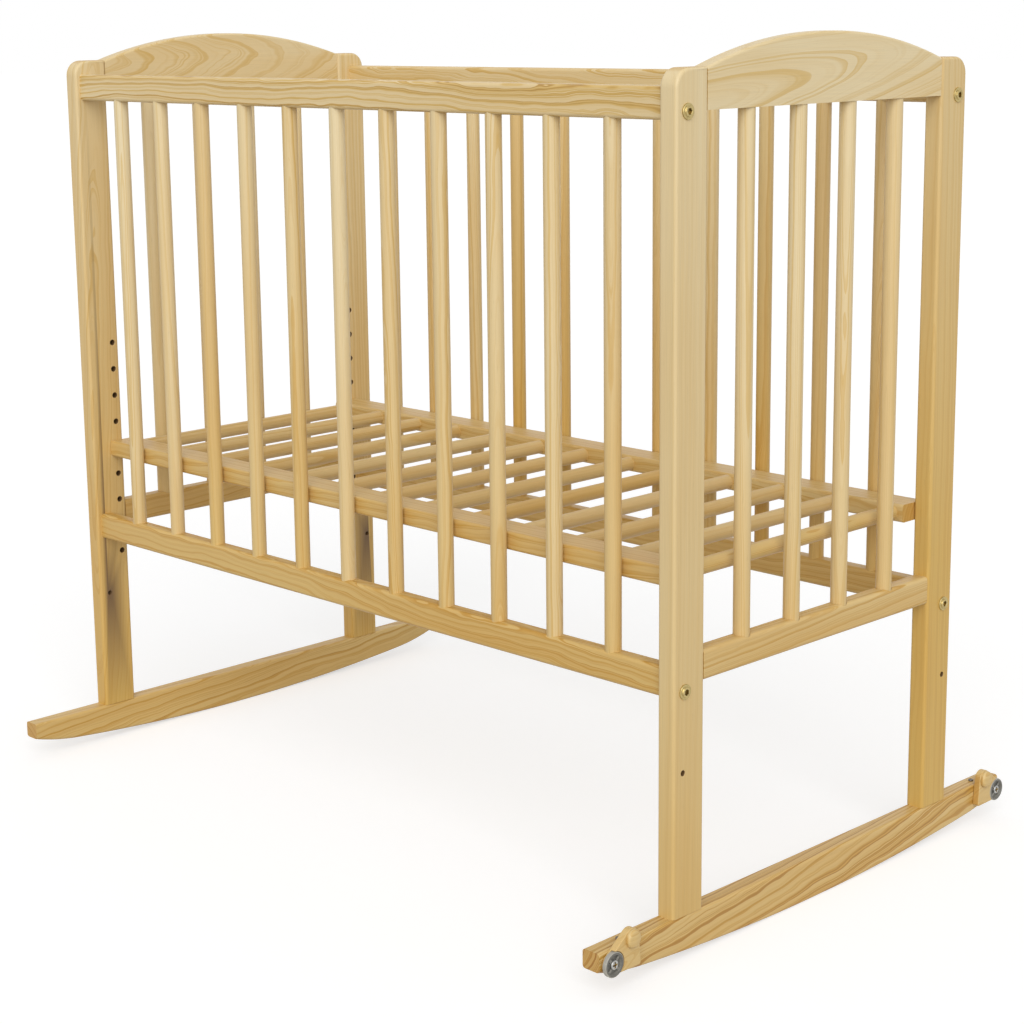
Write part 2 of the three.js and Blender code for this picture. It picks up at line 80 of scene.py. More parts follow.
def makeCamera():
    turn, rise, roll = (math.radians(camera[key]) for key in ("azimuth", "elevation", "roll"))
    back = Vector((math.sin(turn) * math.cos(rise), -math.cos(turn) * math.cos(rise), math.sin(rise)))
    level = Vector((math.cos(turn), math.sin(turn), 0))
    upright = back.cross(level)
    right = level * math.cos(roll) + upright * math.sin(roll)
    up = upright * math.cos(roll) - level * math.sin(roll)
    data = bpy.data.cameras.new("camera")
    data.sensor_width = camera["sensor"]
    data.lens = camera["sensor"] * camera["focalPixels"] / camera["imagePixels"]
    data.shift_x = 0.5 - camera["axisPixels"][0] / camera["imagePixels"]
    data.shift_y = camera["axisPixels"][1] / camera["imagePixels"] - 0.5
    data.clip_end = camera["farthest"]
    thing = bpy.data.objects.new("camera", data)
    bpy.context.collection.objects.link(thing)
    aim = Matrix((right, up, back)).transposed().to_4x4()
    thing.matrix_world = Matrix.Translation(camera["place"]) @ aim
    bpy.context.scene.camera = thing


makeCamera()


# Node tools

def setInputs(tree, sockets, values):
    for key, value in dict(values).items():
        if isinstance(value, bpy.types.NodeSocket):
            tree.links.new(value, sockets[key])
        else:
            sockets[key].default_value = value


def addNode(tree, kind, inputs=(), **settings):
    made = tree.nodes.new(kind)
    for name, value in settings.items():
        setattr(made, name, value)
    setInputs(tree, made.inputs, inputs)
    return made


def calc(tree, operation, *values, clamp=False):
    sockets = enumerate(values)
    return addNode(tree, "ShaderNodeMath", sockets, operation=operation, use_clamp=clamp).outputs[0]


def centred(tree, value):  # from 0 to 1 becomes from -0.5 to 0.5
    return calc(tree, "SUBTRACT", value, 0.5)


def vectorCalc(tree, operation, *values):
    return addNode(tree, "ShaderNodeVectorMath", enumerate(values), operation=operation).outputs[0]


def scaled(tree, vector, factor):
    sockets = {0: vector, "Scale": factor}
    return addNode(tree, "ShaderNodeVectorMath", sockets, operation="SCALE").outputs[0]


def lengthOf(tree, vector):
    return addNode(tree, "ShaderNodeVectorMath", {0: vector}, operation="LENGTH").outputs["Value"]


def split(tree, vector):
    return addNode(tree, "ShaderNodeSeparateXYZ", {0: vector}).outputs


def combine(tree, values):
    return addNode(tree, "ShaderNodeCombineXYZ", values).outputs[0]


def mixColour(tree, factor, first, second, mode="MIX"):
    sockets = {0: factor, 6: first, 7: second}
    return addNode(tree, "ShaderNodeMix", sockets, data_type="RGBA", blend_type=mode).outputs[2]


def ease(tree, value, low, high, toLow=0.0, toHigh=1.0):  # smooth step from low to high
    sockets = {0: value, 1: low, 2: high, 3: toLow, 4: toHigh}
    return addNode(tree, "ShaderNodeMapRange", sockets, interpolation_type="SMOOTHSTEP").outputs[0]


def addNoise(tree, vector, scale=1.0, detail=2.0, roughness=0.5):
    sockets = {"Vector": vector, "Scale": scale, "Detail": detail, "Roughness": roughness}
    return addNode(tree, "ShaderNodeTexNoise", sockets).outputs


def addBump(tree, height, strength, distance):
    sockets = {"Height": height, "Strength": strength, "Distance": distance}
    return addNode(tree, "ShaderNodeBump", sockets).outputs[0]


def readAttribute(tree, name, output="Vector"):
    return addNode(tree, "ShaderNodeAttribute", attribute_name=name).outputs[output]


def newMaterial(name):
    material = bpy.data.materials.new(name)
    material.use_nodes = True
    tree = material.node_tree
    return material, tree, tree.nodes["Principled BSDF"].inputs


# Pine

pineLook = {
    "pale": (0.79, 0.675, 0.44, 1),  # early wood of pale boards
    "warm": (0.76, 0.60, 0.335, 1),  # early wood where the board is warmer
    "warmth": (0.3, 0.7),  # from which to which value of the cloud noise the warm colour comes in
    "ochre": (0.64, 0.43, 0.125, 1),  # the soft start of each year's late wood
    "ochreStart": (0.0, 0.7),
    "late": (0.46, 0.265, 0.06, 1),  # dark line that ends each year's growth
    "lateStart": (0.5, 1.0),
    "honey": (0.80, 0.61, 0.25, 1),  # multiplies the colour of a honey-coloured board; the same colour also paints shade, darker and warmer towards the floor
    "paintedShadeAtFloor": 0.82,  # painted shade: how much more honey-coloured and darker the wood is painted at the floor than at the top, standing in for light that falls off lower down
    "paintedShadeHeight": 830.0,
    "endGrain": (0.84, 0.72, 0.50, 1),
    "endFacing": (0.75, 0.98),  # how squarely a face cuts the grain before it shows as end grain
    "knot": (0.20, 0.085, 0.03, 1),
    "knotRadius": 3.4,
    "knotCore": 0.55,  # share of the knot's radius that is fully dark
    "knotDark": 0.85,
    "knotReach": 11,  # the rings swell round the knot as far as this
    "knotSwell": 7.0,
    "knotSqueeze": 0.55,  # along the grain
    "paintedHollowShade": (0.16, 0.09, 0.035, 1),  # painted shade on the wall of a drilled hole
    "farDrift": (1 / 300, 1 / 70, 1 / 70),  # noise per millimetre along, up and sideways
    "nearDrift": (1 / 62, 1 / 24, 1 / 24),
    "nearShare": 0.36,
    "uneven": 1.3,  # how unevenly the years are spaced
    "unevenStep": 0.7,
    "faintest": 0.35,  # late wood of the faintest year
    "cloud": (1 / 380, 1 / 60, 1 / 60),
    "fibre": (1 / 60, 1.4, 1.4),
    "fibreLight": 0.2,
    "darkest": 0.90,  # brightness where the fibre noise is lowest
    "canal": (1 / 14, 1.1, 1.1),  # short dark resin canals
    "canalStart": (0.66, 0.76),
    "canalDark": 0.10,
    "shuffle": (0.37, 0.41, 0.29),  # so that no two boards share a noise
    "roughness": 0.42,
    "fibreRough": 0.16,
    "lateGloss": 0.07,
    "fibreHeight": 0.6,
    "lateHeight": 0.5,
    "bump": (0.25, 0.00025),  # strength and distance
    "coat": 0.12,
    "coatRoughness": 0.3,
}
grainOrder = {"X": (0, 2, 1), "Y": (1, 2, 0), "Z": (2, 1, 0)}  # along the grain, up, sideways
ringProfile = ((0.0, 0.0), (0.25, 0.05), (0.56, 0.48), (0.85, 1.0), (0.95, 0.8), (1.0, 0.0))


def addRingRamp(tree, within):  # late wood through one year's growth
    ramp = addNode(tree, "ShaderNodeValToRGB", {0: within})
    stops = ramp.color_ramp.elements
    stops.remove(stops[1])
    for position, level in ringProfile[1:]:
        stops.new(position)
    for stop, (position, level) in zip(stops, ringProfile):
        stop.position = position
        stop.color = (level, level, level, 1)
    return ramp.outputs[0]


def makePine(name, axis):
    look = pineLook
    material, tree, surface = newMaterial(name)
    coordinates = addNode(tree, "ShaderNodeTexCoord").outputs
    place = scaled(tree, coordinates["Object"], 1 / mm)
    pith = readAttribute(tree, "pith")
    leanUp, leanSide, wave = split(tree, readAttribute(tree, "lean"))
    spacing, contrast, honey = split(tree, readAttribute(tree, "grain"))
    fromPith = split(tree, vectorCalc(tree, "SUBTRACT", place, pith))
    along, up, side = (fromPith[i] for i in grainOrder[axis])
    local = combine(tree, {0: along, 1: up, 2: side})
    shuffle = vectorCalc(tree, "MULTIPLY", pith, look["shuffle"])

    def grainNoise(key, detail=2.0):
        stretched = vectorCalc(tree, "MULTIPLY", local, look[key])
        return addNoise(tree, vectorCalc(tree, "ADD", stretched, shuffle), detail=detail)

    squeeze = [1.0, 1.0, 1.0]
    squeeze[grainOrder[axis][0]] = look["knotSqueeze"]
    fromKnot = vectorCalc(tree, "SUBTRACT", place, readAttribute(tree, "knot"))
    knotGap = lengthOf(tree, vectorCalc(tree, "MULTIPLY", fromKnot, squeeze))
    swell = ease(tree, knotGap, 0.0, look["knotReach"], look["knotSwell"], 0.0)

    # A ring is a circle round the pith, which leans and wanders along the board
    farDrift = split(tree, grainNoise("farDrift")[1])
    nearDrift = split(tree, grainNoise("nearDrift")[1])
    offsets = {}
    for key, value, lean in ((0, up, leanUp), (1, side, leanSide)):
        near, far = centred(tree, nearDrift[key]), centred(tree, farDrift[key])
        drift = calc(tree, "MULTIPLY_ADD", near, look["nearShare"], far)
        value = calc(tree, "SUBTRACT", value, calc(tree, "MULTIPLY", lean, along))
        offsets[key] = calc(tree, "MULTIPLY_ADD", drift, wave, value)
    radius = calc(tree, "ADD", lengthOf(tree, combine(tree, offsets)), swell)
    years = calc(tree, "DIVIDE", radius, spacing)
    sockets = {"W": calc(tree, "MULTIPLY", years, look["unevenStep"]), "Detail": 1.0}
    uneven = addNode(tree, "ShaderNodeTexNoise", sockets, noise_dimensions="1D").outputs[0]
    years = calc(tree, "MULTIPLY_ADD", centred(tree, uneven), look["uneven"], years)
    sockets = {"W": calc(tree, "FLOOR", years)}
    each = addNode(tree, "ShaderNodeTexWhiteNoise", sockets, noise_dimensions="1D").outputs["Value"]
    each = calc(tree, "MULTIPLY_ADD", each, 1 - look["faintest"], look["faintest"])
    late = calc(tree, "MULTIPLY", addRingRamp(tree, calc(tree, "FRACT", years)), each)
    late = calc(tree, "MULTIPLY", late, contrast, clamp=True)

    fibre = grainNoise("fibre", detail=3.0)[0]
    canal = ease(tree, grainNoise("canal")[0], *look["canalStart"])
    warmth = ease(tree, grainNoise("cloud")[0], *look["warmth"])
    colour = mixColour(tree, warmth, look["pale"], look["warm"])
    colour = mixColour(tree, ease(tree, late, *look["ochreStart"]), colour, look["ochre"])
    colour = mixColour(tree, ease(tree, late, *look["lateStart"]), colour, look["late"])
    # Painted shade: the wood is painted darker and more honey-coloured towards the floor, standing in for
    # light that falls off lower down
    height = calc(tree, "DIVIDE", split(tree, place)[2], look["paintedShadeHeight"])
    paintedShadeDepth = calc(tree, "SUBTRACT", 1.0, height)
    honey = calc(tree, "MULTIPLY_ADD", paintedShadeDepth, look["paintedShadeAtFloor"], honey, clamp=True)
    colour = mixColour(tree, honey, colour, look["honey"], "MULTIPLY")
    light = calc(tree, "MULTIPLY_ADD", fibre, look["fibreLight"], look["darkest"])
    light = calc(tree, "MULTIPLY_ADD", canal, -look["canalDark"], light)
    colour = scaled(tree, colour, light)
    facing = calc(tree, "ABSOLUTE", split(tree, coordinates["Normal"])[grainOrder[axis][0]])
    endColour = mixColour(tree, 1.0, colour, look["endGrain"], "MULTIPLY")
    colour = mixColour(tree, ease(tree, facing, *look["endFacing"]), colour, endColour)
    coreRadius = look["knotRadius"] * look["knotCore"]
    core = ease(tree, knotGap, coreRadius, look["knotRadius"], look["knotDark"], 0.0)
    colour = mixColour(tree, core, colour, look["knot"])
    # Painted shade on the walls of drilled holes
    colour = mixColour(tree, readAttribute(tree, "paintedHollowShade", "Fac"), colour, look["paintedHollowShade"])

    roughness = calc(tree, "MULTIPLY_ADD", late, -look["lateGloss"], look["roughness"])
    relief = calc(tree, "MULTIPLY", late, look["lateHeight"])
    relief = calc(tree, "MULTIPLY_ADD", fibre, look["fibreHeight"], relief)
    setInputs(tree, surface, {
        "Base Color": colour,
        "Roughness": calc(tree, "MULTIPLY_ADD", fibre, look["fibreRough"], roughness),
        "Normal": addBump(tree, relief, *look["bump"]),
        "Coat Weight": look["coat"],
        "Coat Roughness": look["coatRoughness"],
    })
    return material


pineAlong = {axis: makePine("pineAlong" + axis, axis) for axis in "XYZ"}


# Metals and plastic

metals = {
    "brass": {"colour": (0.52, 0.41, 0.18, 1), "worn": (0.32, 0.245, 0.10, 1), "roughness": 0.32},
    "zinc": {"colour": (0.66, 0.66, 0.65, 1), "worn": (0.36, 0.36, 0.35, 1), "roughness": 0.26},
    "steel": {"colour": (0.46, 0.46, 0.44, 1), "worn": (0.26, 0.26, 0.25, 1), "roughness": 0.36},
    "darkZinc": {"colour": (0.22, 0.20, 0.18, 1), "worn": (0.10, 0.09, 0.08, 1), "roughness": 0.42},
}
metalLook = {
    "recess": (0.29, 0.215, 0.085, 1),  # painted shade inside a screw's or bolt's recess
    "blotchScale": 225.0,
    "blotchStart": (0.45, 0.75),
    "wornShare": 0.6,
    "wornRough": 0.14,
    "speckScale": 1800.0,
    "speckRough": 0.08,
    "bump": (0.12, 0.0001),
}


def makeMetal(name):
    metal, look = metals[name], metalLook
    material, tree, surface = newMaterial(name)
    place = addNode(tree, "ShaderNodeTexCoord").outputs["Object"]
    blotch = addNoise(tree, place, look["blotchScale"], detail=3.0)[0]
    speck = addNoise(tree, place, look["speckScale"])[0]
    dull = ease(tree, blotch, *look["blotchStart"])
    wear = calc(tree, "MULTIPLY", dull, look["wornShare"])
    colour = mixColour(tree, wear, metal["colour"], metal["worn"])
    roughness = calc(tree, "MULTIPLY_ADD", dull, look["wornRough"], metal["roughness"])
    setInputs(tree, surface, {
        # painted shade inside recesses
        "Base Color": mixColour(tree, readAttribute(tree, "paintedHollowShade", "Fac"), colour, look["recess"]),
        "Roughness": calc(tree, "MULTIPLY_ADD", speck, look["speckRough"], roughness),
        "Metallic": 1.0,
        "Normal": addBump(tree, speck, *look["bump"]),
    })
    return material


plasticLook = {
    "dish": (0.13, 0.127, 0.112, 1),
    # paler colour of the tread, partly wear and partly painted highlight; at a share it paints highlight on
    # the rib tops
    "rim": (0.37, 0.355, 0.31, 1),
    "grainScale": 2600.0,
    "scuff": (1.3, 1.3, 1.28, 1),  # multiplies the colour
    "scuffScale": 260.0,
    "scuffStart": (0.52, 0.72),
    "scuffRough": 0.15,
    "roughness": 0.36,
    "bump": (0.2, 0.0001),
}


def makeGreyPlastic():
    look = plasticLook
    material, tree, surface = newMaterial("greyPlastic")
    place = addNode(tree, "ShaderNodeTexCoord").outputs["Object"]
    grain = addNoise(tree, place, look["grainScale"])[0]
    scratches = addNoise(tree, place, look["scuffScale"], detail=4.0, roughness=0.65)[0]
    scuff = ease(tree, scratches, *look["scuffStart"])
    # the paler rim colour is partly wear and partly painted highlight
    colour = mixColour(tree, readAttribute(tree, "rim", "Fac"), look["dish"], look["rim"])
    setInputs(tree, surface, {
        "Base Color": mixColour(tree, scuff, colour, look["scuff"], "MULTIPLY"),
        "Roughness": calc(tree, "MULTIPLY_ADD", scuff, look["scuffRough"], look["roughness"]),
        "Normal": addBump(tree, grain, *look["bump"]),
    })
    return material


brass, zinc, steel, darkZinc = (makeMetal(name) for name in metals)
greyPlastic = makeGreyPlastic()
print("materials made")


# Drawing tools

drawOrder = {"X": (1, 2, 0), "Y": (0, 2, 1), "Z": (0, 1, 2)}  # an outline's two directions, then its pull
quarter = math.pi / 2
beforeFace = 2.0  # a cutter starts this far off the face that it cuts
clearance = 0.3
sameWithin = 0.01  # places this close count as one
straight = 0.999  # share of an edge's length that lies along an axis, when the edge runs along it


def pointAt(first, second, pull, axis):
    point = [0.0, 0.0, 0.0]
    for value, index in zip((first, second, pull), drawOrder[axis]):
        point[index] = value
    return point


def prism(outline, axis, low, high):
    shape = bmesh.new()
    floor = [shape.verts.new(pointAt(a, b, low, axis)) for a, b in outline]
    roof = [shape.verts.new(pointAt(a, b, high, axis)) for a, b in outline]
    shape.faces.new(floor)
    shape.faces.new(roof)
    for i, corner in enumerate(floor):
        following = (i + 1) % len(floor)
        shape.faces.new((corner, floor[following], roof[following], roof[i]))
    bmesh.ops.recalc_face_normals(shape, faces=shape.faces)
    return shape


def rectangle(lowFirst, highFirst, lowSecond, highSecond):
    return [(lowFirst, lowSecond), (highFirst, lowSecond), (highFirst, highSecond), (lowFirst, highSecond)]


def arc(centre, radius, start, end, steps):
    angles = [start + (end - start) * i / steps for i in range(steps + 1)]
    return [(centre[0] + radius * math.cos(angle), centre[1] + radius * math.sin(angle))
            for angle in angles]


def rodProfile(radius, low, high):
    return [(0, low), (radius, low), (radius, high), (0, high)]


def rimProfile(radius, top, edge, steps=4):  # the rounded edge at a turned shape's top
    return arc((radius - edge, top - edge), edge, 0, quarter, steps)


# A turned shape: its profile of (radius, place along the axis) goes round the axis through a point
def turned(profile, axis, at=(0, 0, 0), flip=1, steps=24, closed=False):
    shape = bmesh.new()
    rings = []
    for radius, along in profile:
        angles = [2 * math.pi * i / steps for i in range(steps)] if radius > 0 else [0.0]
        ring = [(radius * math.cos(angle), radius * math.sin(angle)) for angle in angles]
        rings.append([shape.verts.new(pointAt(a, b, flip * along, axis)) for a, b in ring])
    for lower, upper in zip(rings, rings[1:] + rings[:1] if closed else rings[1:]):
        for i in range(steps):
            corners = [lower[i % len(lower)], lower[(i + 1) % steps % len(lower)],
                       upper[(i + 1) % steps % len(upper)], upper[i % len(upper)]]
            corners = list(dict.fromkeys(corners))
            if len(corners) > 2:
                shape.faces.new(corners)
    bmesh.ops.translate(shape, vec=at, verts=shape.verts)
    bmesh.ops.recalc_face_normals(shape, faces=shape.faces)
    return shape


# A drill along an axis from a face, with a small countersunk lip
def drill(radius, depth, axis, at, flip, lip=0.0, steps=24):
    profile = rodProfile(radius, -beforeFace, depth)
    if lip:
        profile[1:2] = [(radius + lip, -beforeFace), (radius + lip, 0), (radius, lip)]
    return turned(profile, axis, at, flip, steps)


def runsAlong(edge, axis):
    step = edge.verts[1].co - edge.verts[0].co
    return abs(step["XYZ".index(axis)]) > straight * step.length


def roundEdges(shape, radius, wanted, steps=4):
    edges = [edge for edge in shape.edges if wanted(edge)]
    bmesh.ops.bevel(shape, geom=edges, offset=radius, segments=steps, profile=0.5, affect="EDGES",
                    clamp_overlap=True)
    return shape


def together(shapes):
    whole = bmesh.new()
    for shape in shapes:
        loose = meshOf(shape)
        whole.from_mesh(loose)
        bpy.data.meshes.remove(loose)
    return whole


def meshOf(shape, name="blank"):
    mesh = bpy.data.meshes.new(name)
    shape.to_mesh(mesh)
    shape.free()
    return mesh


def newObject(name, mesh):
    thing = bpy.data.objects.new(name, mesh)
    bpy.context.collection.objects.link(thing)
    return thing


def evaluatedMesh(thing):
    bpy.context.view_layer.update()
    graph = bpy.context.evaluated_depsgraph_get()
    return bpy.data.meshes.new_from_object(thing.evaluated_get(graph))


def carve(shape, cutters=(), joins=()):
    blank = newObject("blank", meshOf(shape))
    tools = []
    for operation, parts in (("UNION", joins), ("DIFFERENCE", cutters)):
        if parts:
            tool = newObject("tool", meshOf(together(parts)))
            step = blank.modifiers.new(operation, "BOOLEAN")
            step.operation = operation
            step.solver = "EXACT"
            step.object = tool
            tools.append(tool)
    mesh = evaluatedMesh(blank)
    for thing in [blank] + tools:
        bpy.data.objects.remove(thing)
    return mesh


# Where a board lay in its log, kept on its points for the pine shader: the pith's place from the board's
# middle, how the grain leans from the board's length, how it waves, the years' width, contrast and tone.
# The usual knot lies far off, so that none shows.
usualWood = dict(pith=(-20.0, 34.0), lean=(0.01, 0.02), wave=12.0, spacing=4.2, contrast=0.55, honey=0.3,
                 knot=(0.0, 0.0, -9000.0))


def setWood(mesh, axis, changes):
    wood = {**usualWood, **changes}
    low = Vector([min(vertex.co[i] for vertex in mesh.vertices) for i in range(3)]) / mm
    high = Vector([max(vertex.co[i] for vertex in mesh.vertices) for i in range(3)]) / mm
    pith = (low + high) / 2
    pith[grainOrder[axis][1]] += wood["pith"][0]
    pith[grainOrder[axis][2]] += wood["pith"][1]
    values = {
        "pith": tuple(pith),
        "lean": (*wood["lean"], wood["wave"]),
        "grain": (wood["spacing"], wood["contrast"], wood["honey"]),
        "knot": wood["knot"],
    }
    for name, value in values.items():
        layer = mesh.attributes.new(name, "FLOAT_VECTOR", "POINT")
        layer.data.foreach_set("vector", list(value) * len(mesh.vertices))


def markPlaces(mesh, name, share, domain="POINT"):  # how far each point or face is marked, from 0 to 1
    places = [face.center for face in mesh.polygons]
    if domain == "POINT":
        places = [vertex.co for vertex in mesh.vertices]
    layer = mesh.attributes.new(name, "FLOAT", domain)
    layer.data.foreach_set("value", [float(share(place)) for place in places])


def finishPiece(name, mesh, material, body, nodes, crease=35):
    mesh.transform(Matrix.Scale(mm, 4))
    mesh.materials.clear()
    mesh.materials.append(material)
    mesh.shade_smooth()
    mesh.set_sharp_from_angle(angle=math.radians(crease))
    rough = newObject("rough", mesh)
    weigh = rough.modifiers.new("weigh", "WEIGHTED_NORMAL")
    weigh.keep_sharp = True
    piece = newObject(name, evaluatedMesh(rough))
    piece.data.name = name
    bpy.data.objects.remove(rough)
    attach(piece, body)
    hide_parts(*nodes)
    return piece


def finishBoard(name, mesh, axis, body, nodes, wood):
    piece = finishPiece(name, mesh, pineAlong[axis], body, nodes)
    setWood(piece.data, axis, wood)
    return piece


def cornerName(sideName, endName):
    return f"{sideName}_{endName}".lower()


# Places and sizes that many pieces share

postTop = boxOf("post_front_left")[1].z
innerX = {end: boxOf("post_front_" + name.lower())[0 if end > 0 else 1].x for name, end in ends}
innerY = {side: boxOf(f"post_{name.lower()}_left")[0 if side > 0 else 1].y for name, side in sides}
boltHeights = {level: middleOf("bolt_front_left_" + level).z for level in ("top", "bottom")}
boltBore = {"radius": 3.3, "steps": 16}
slatSeat = {"depth": 12.0, "lip": 0.3, "steps": 32}
pegs = {"radius": 4.0, "root": 4.0, "steps": 16, "longReach": 10.0, "endReach": 15.0, "spreadInRail": 14.0,
        "spreadInArch": 18.0, "heightInLongRail": 22.0}


def makePeg(axis, at, flip, reach):
    return turned(rodProfile(pegs["radius"], -pegs["root"], reach), axis, at, flip, pegs["steps"])


def drillSeat(radius, axis, at, flip):
    return drill(radius + clearance, slatSeat["depth"], axis, at, flip, slatSeat["lip"], slatSeat["steps"])


# Posts

postShape = {"edge": 3.5, "topRound": 17.5, "roundSteps": 12, "lip": 0.4}
adjustHoles = {"count": 9, "pitch": 32.4, "abovePins": 4, "radius": 3.3, "depth": 12.0}
lowerHole = {"radius": 2.75, "depth": 40.0, "height": 142.5, "fromOuterEdge": 13.0}
hollowShadeReach = 0.05  # points this far off a hole's wall still get the wall's painted shade
postWood = {
    "front_right": dict(pith=(46, 60), lean=(0.004, 0.006), wave=5, spacing=4.4, contrast=0.26, honey=0.0,
                        knot=(481.0, -180.5, 325.0)),
    "front_left": dict(pith=(-20, 14), lean=(0.07, 0.05), wave=18, spacing=4.2, contrast=0.45, honey=0.22),
    "back_right": dict(pith=(50, -40), lean=(-0.004, 0.01), wave=8, spacing=3.8, contrast=0.42, honey=0.5),
    "back_left": dict(pith=(-44, -30), lean=(0.01, -0.02), wave=9, spacing=4.0, contrast=0.55, honey=0.2),
}


def postOutline(low, high, side):
    inner, outer = (low.y, high.y) if side > 0 else (high.y, low.y)
    radius = postShape["topRound"]
    middle = outer - side * radius
    corner = arc((middle, high.z - radius), radius, 0, quarter, postShape["roundSteps"])
    if side < 0:
        corner = [(2 * middle - y, z) for y, z in corner]
    return [(inner, low.z), (outer, low.z)] + corner + [(inner, high.z)]


def makePost(sideName, side, endName, end):
    corner = cornerName(sideName, endName)
    low, high = boxOf("post_" + corner)
    shape = prism(postOutline(low, high, side), "X", low.x, high.x)

    def isFaceEdge(edge):
        atFoot = all(abs(vertex.co.z - low.z) < sameWithin for vertex in edge.verts)
        return not runsAlong(edge, "X") and not atFoot

    roundEdges(shape, postShape["edge"], isFaceEdge)
    cutters = []
    bores = []
    pin = middleOf("base_pin_" + corner)
    for i in range(adjustHoles["count"]):
        z = pin.z + (adjustHoles["abovePins"] - i) * adjustHoles["pitch"]
        at = (innerX[end], pin.y, z)
        cutters.append(drill(adjustHoles["radius"], adjustHoles["depth"], "X", at, end, postShape["lip"]))
        bores.append((pin.y, z, adjustHoles["radius"]))
    bolt = middleOf(f"bolt_{corner}_top")
    outerX = high.x if end > 0 else low.x
    through = 2 * (high.x - low.x)
    for z in boltHeights.values():
        at = (outerX, bolt.y, z)
        cutters.append(drill(boltBore["radius"], through, "X", at, -end, steps=boltBore["steps"]))
    y = (high.y if side > 0 else low.y) - side * lowerHole["fromOuterEdge"]
    z = low.z + lowerHole["height"]
    at = (outerX, y, z)
    cutters.append(drill(lowerHole["radius"], lowerHole["depth"], "X", at, -end, postShape["lip"]))
    bores.append((y, z, lowerHole["radius"]))
    mesh = carve(shape, cutters)
    # The walls of the adjustment holes and the lower hole are marked for painted shade
    markPlaces(mesh, "paintedHollowShade", lambda at: any(math.hypot(at.y - y, at.z - z) < radius + hollowShadeReach
                                             for y, z, radius in bores))
    finishBoard("post" + sideName + endName, mesh, "Z", "crib", ["post_" + corner], postWood[corner])


for sideName, side in sides:
    for endName, end in ends:
        makePost(sideName, side, endName, end)
print("posts made")


# Long rails

railShape = {"edge": 4.0, "edgeSteps": 5, "nutRadius": 5.3, "nutInset": 28.0, "nutDepth": 14.8,
             "nutLip": 0.3, "boltDepth": 36.3}
longSlats = {"count": 11, "radius": 8.25, "sides": 32, "seed": 4,
             "honey": {"Front": 0.12, "Back": 0.36}, "contrast": {"Front": 0.08, "Back": 0.12}}
topRailWood = {
    "Front": dict(pith=(-52, 26), lean=(0.03, 0.06), wave=24, spacing=5.0, contrast=1.1, honey=0.14),
    "Back": dict(pith=(26, -24), lean=(-0.02, 0.06), wave=24, spacing=5.2, contrast=0.7, honey=0.3),
}
bottomRailWood = {
    "Front": dict(pith=(-60, 34), lean=(-0.02, 0.03), wave=22, spacing=5.2, contrast=0.75, honey=0.3),
    "Back": dict(pith=(52, 30), lean=(0.01, 0.03), wave=18, spacing=5.0, contrast=0.7, honey=0.3),
}
slatsAcross = 2 * longSlats["radius"] * longSlats["count"]
slatGap = (innerX[1] - innerX[-1] - slatsAcross) / (longSlats["count"] + 1)
slatPitch = slatGap + 2 * longSlats["radius"]
slatStart = innerX[-1] + slatGap + longSlats["radius"]
railHeight = boxOf("top_rail_front")[1].z - boxOf("top_rail_front")[0].z


def makeLongRail(sideName, level):
    kind, wood = ("top_rail_", topRailWood) if level == "top" else ("slatted_rail_", bottomRailWood)
    node = kind + sideName.lower()
    low, high = boxOf(node)
    high.z = low.z + railHeight
    shape = prism(rectangle(low.y, high.y, low.z, high.z), "X", innerX[-1], innerX[1])
    roundEdges(shape, railShape["edge"], lambda edge: runsAlong(edge, "X"), railShape["edgeSteps"])
    middleY = (low.y + high.y) / 2
    cutters = []
    joins = []
    for _, end in ends:
        at = (innerX[end], middleY, boltHeights[level])
        cutters.append(drill(boltBore["radius"], railShape["boltDepth"], "X", at, -end,
                             steps=boltBore["steps"]))
        at = (innerX[end] - end * railShape["nutInset"], middleY, low.z)
        cutters.append(drill(railShape["nutRadius"], railShape["nutDepth"], "Z", at, 1, railShape["nutLip"]))
        at = (innerX[end], middleY, low.z + pegs["heightInLongRail"])
        joins.append(makePeg("X", at, end, pegs["longReach"]))
    if level == "top":
        for i in range(longSlats["count"]):
            at = (slatStart + i * slatPitch, middleY, low.z)
            cutters.append(drillSeat(longSlats["radius"], "Z", at, 1))
    mesh = carve(shape, cutters, joins)
    finishBoard(f"{level}Rail{sideName}", mesh, "X", "crib", [node], wood[sideName])


for sideName, _ in sides:
    makeLongRail(sideName, "top")
    makeLongRail(sideName, "bottom")
print("long rails made")


# Ends

endShape = {"edge": 4.0, "archEdge": 3.0, "archSteps": 40, "slats": 4, "seeds": {"Left": -1, "Right": 9}}
archWood = {
    "Right": dict(pith=(-2, -17), lean=(0.14, -0.1), wave=6, spacing=7.4, contrast=0.5, honey=0.08),
    "Left": dict(pith=(4, -38), lean=(0.0, -0.13), wave=15, spacing=4.8, contrast=0.55, honey=0.24),
}
endRailWood = {
    "Right": dict(pith=(30, 30), lean=(0.03, 0.02), wave=12, spacing=4.8, contrast=0.7, honey=0.15),
    "Left": dict(pith=(-30, -26), lean=(0.02, 0.03), wave=12, spacing=4.4, contrast=0.7, honey=0.25),
}


def endSlatNodes(endName):
    return [f"end_slat_{endName.lower()}_{i + 1}" for i in range(endShape["slats"])]


def archOutline(low, high):
    halfSpan = (innerY[1] - innerY[-1]) / 2
    rise = high.z - postTop
    radius = (halfSpan ** 2 + rise ** 2) / (2 * rise)
    spread = math.asin(halfSpan / radius)
    curve = arc((0, high.z - radius), radius, quarter - spread, quarter + spread, endShape["archSteps"])
    return [(-halfSpan, low.z), (halfSpan, low.z)] + curve


def endPegs(x, z, spread):
    return [makePeg("Y", (x, innerY[side], z + step * spread), side, pegs["endReach"])
            for side in (-1, 1) for step in (-0.5, 0.5)]


def slatSeats(endName, z, flip):
    low, high = boxOf(endSlatNodes(endName)[0])
    places = [middleOf(node) for node in endSlatNodes(endName)]
    return [drillSeat((high.x - low.x) / 2, "Z", (at.x, at.y, z), flip) for at in places]


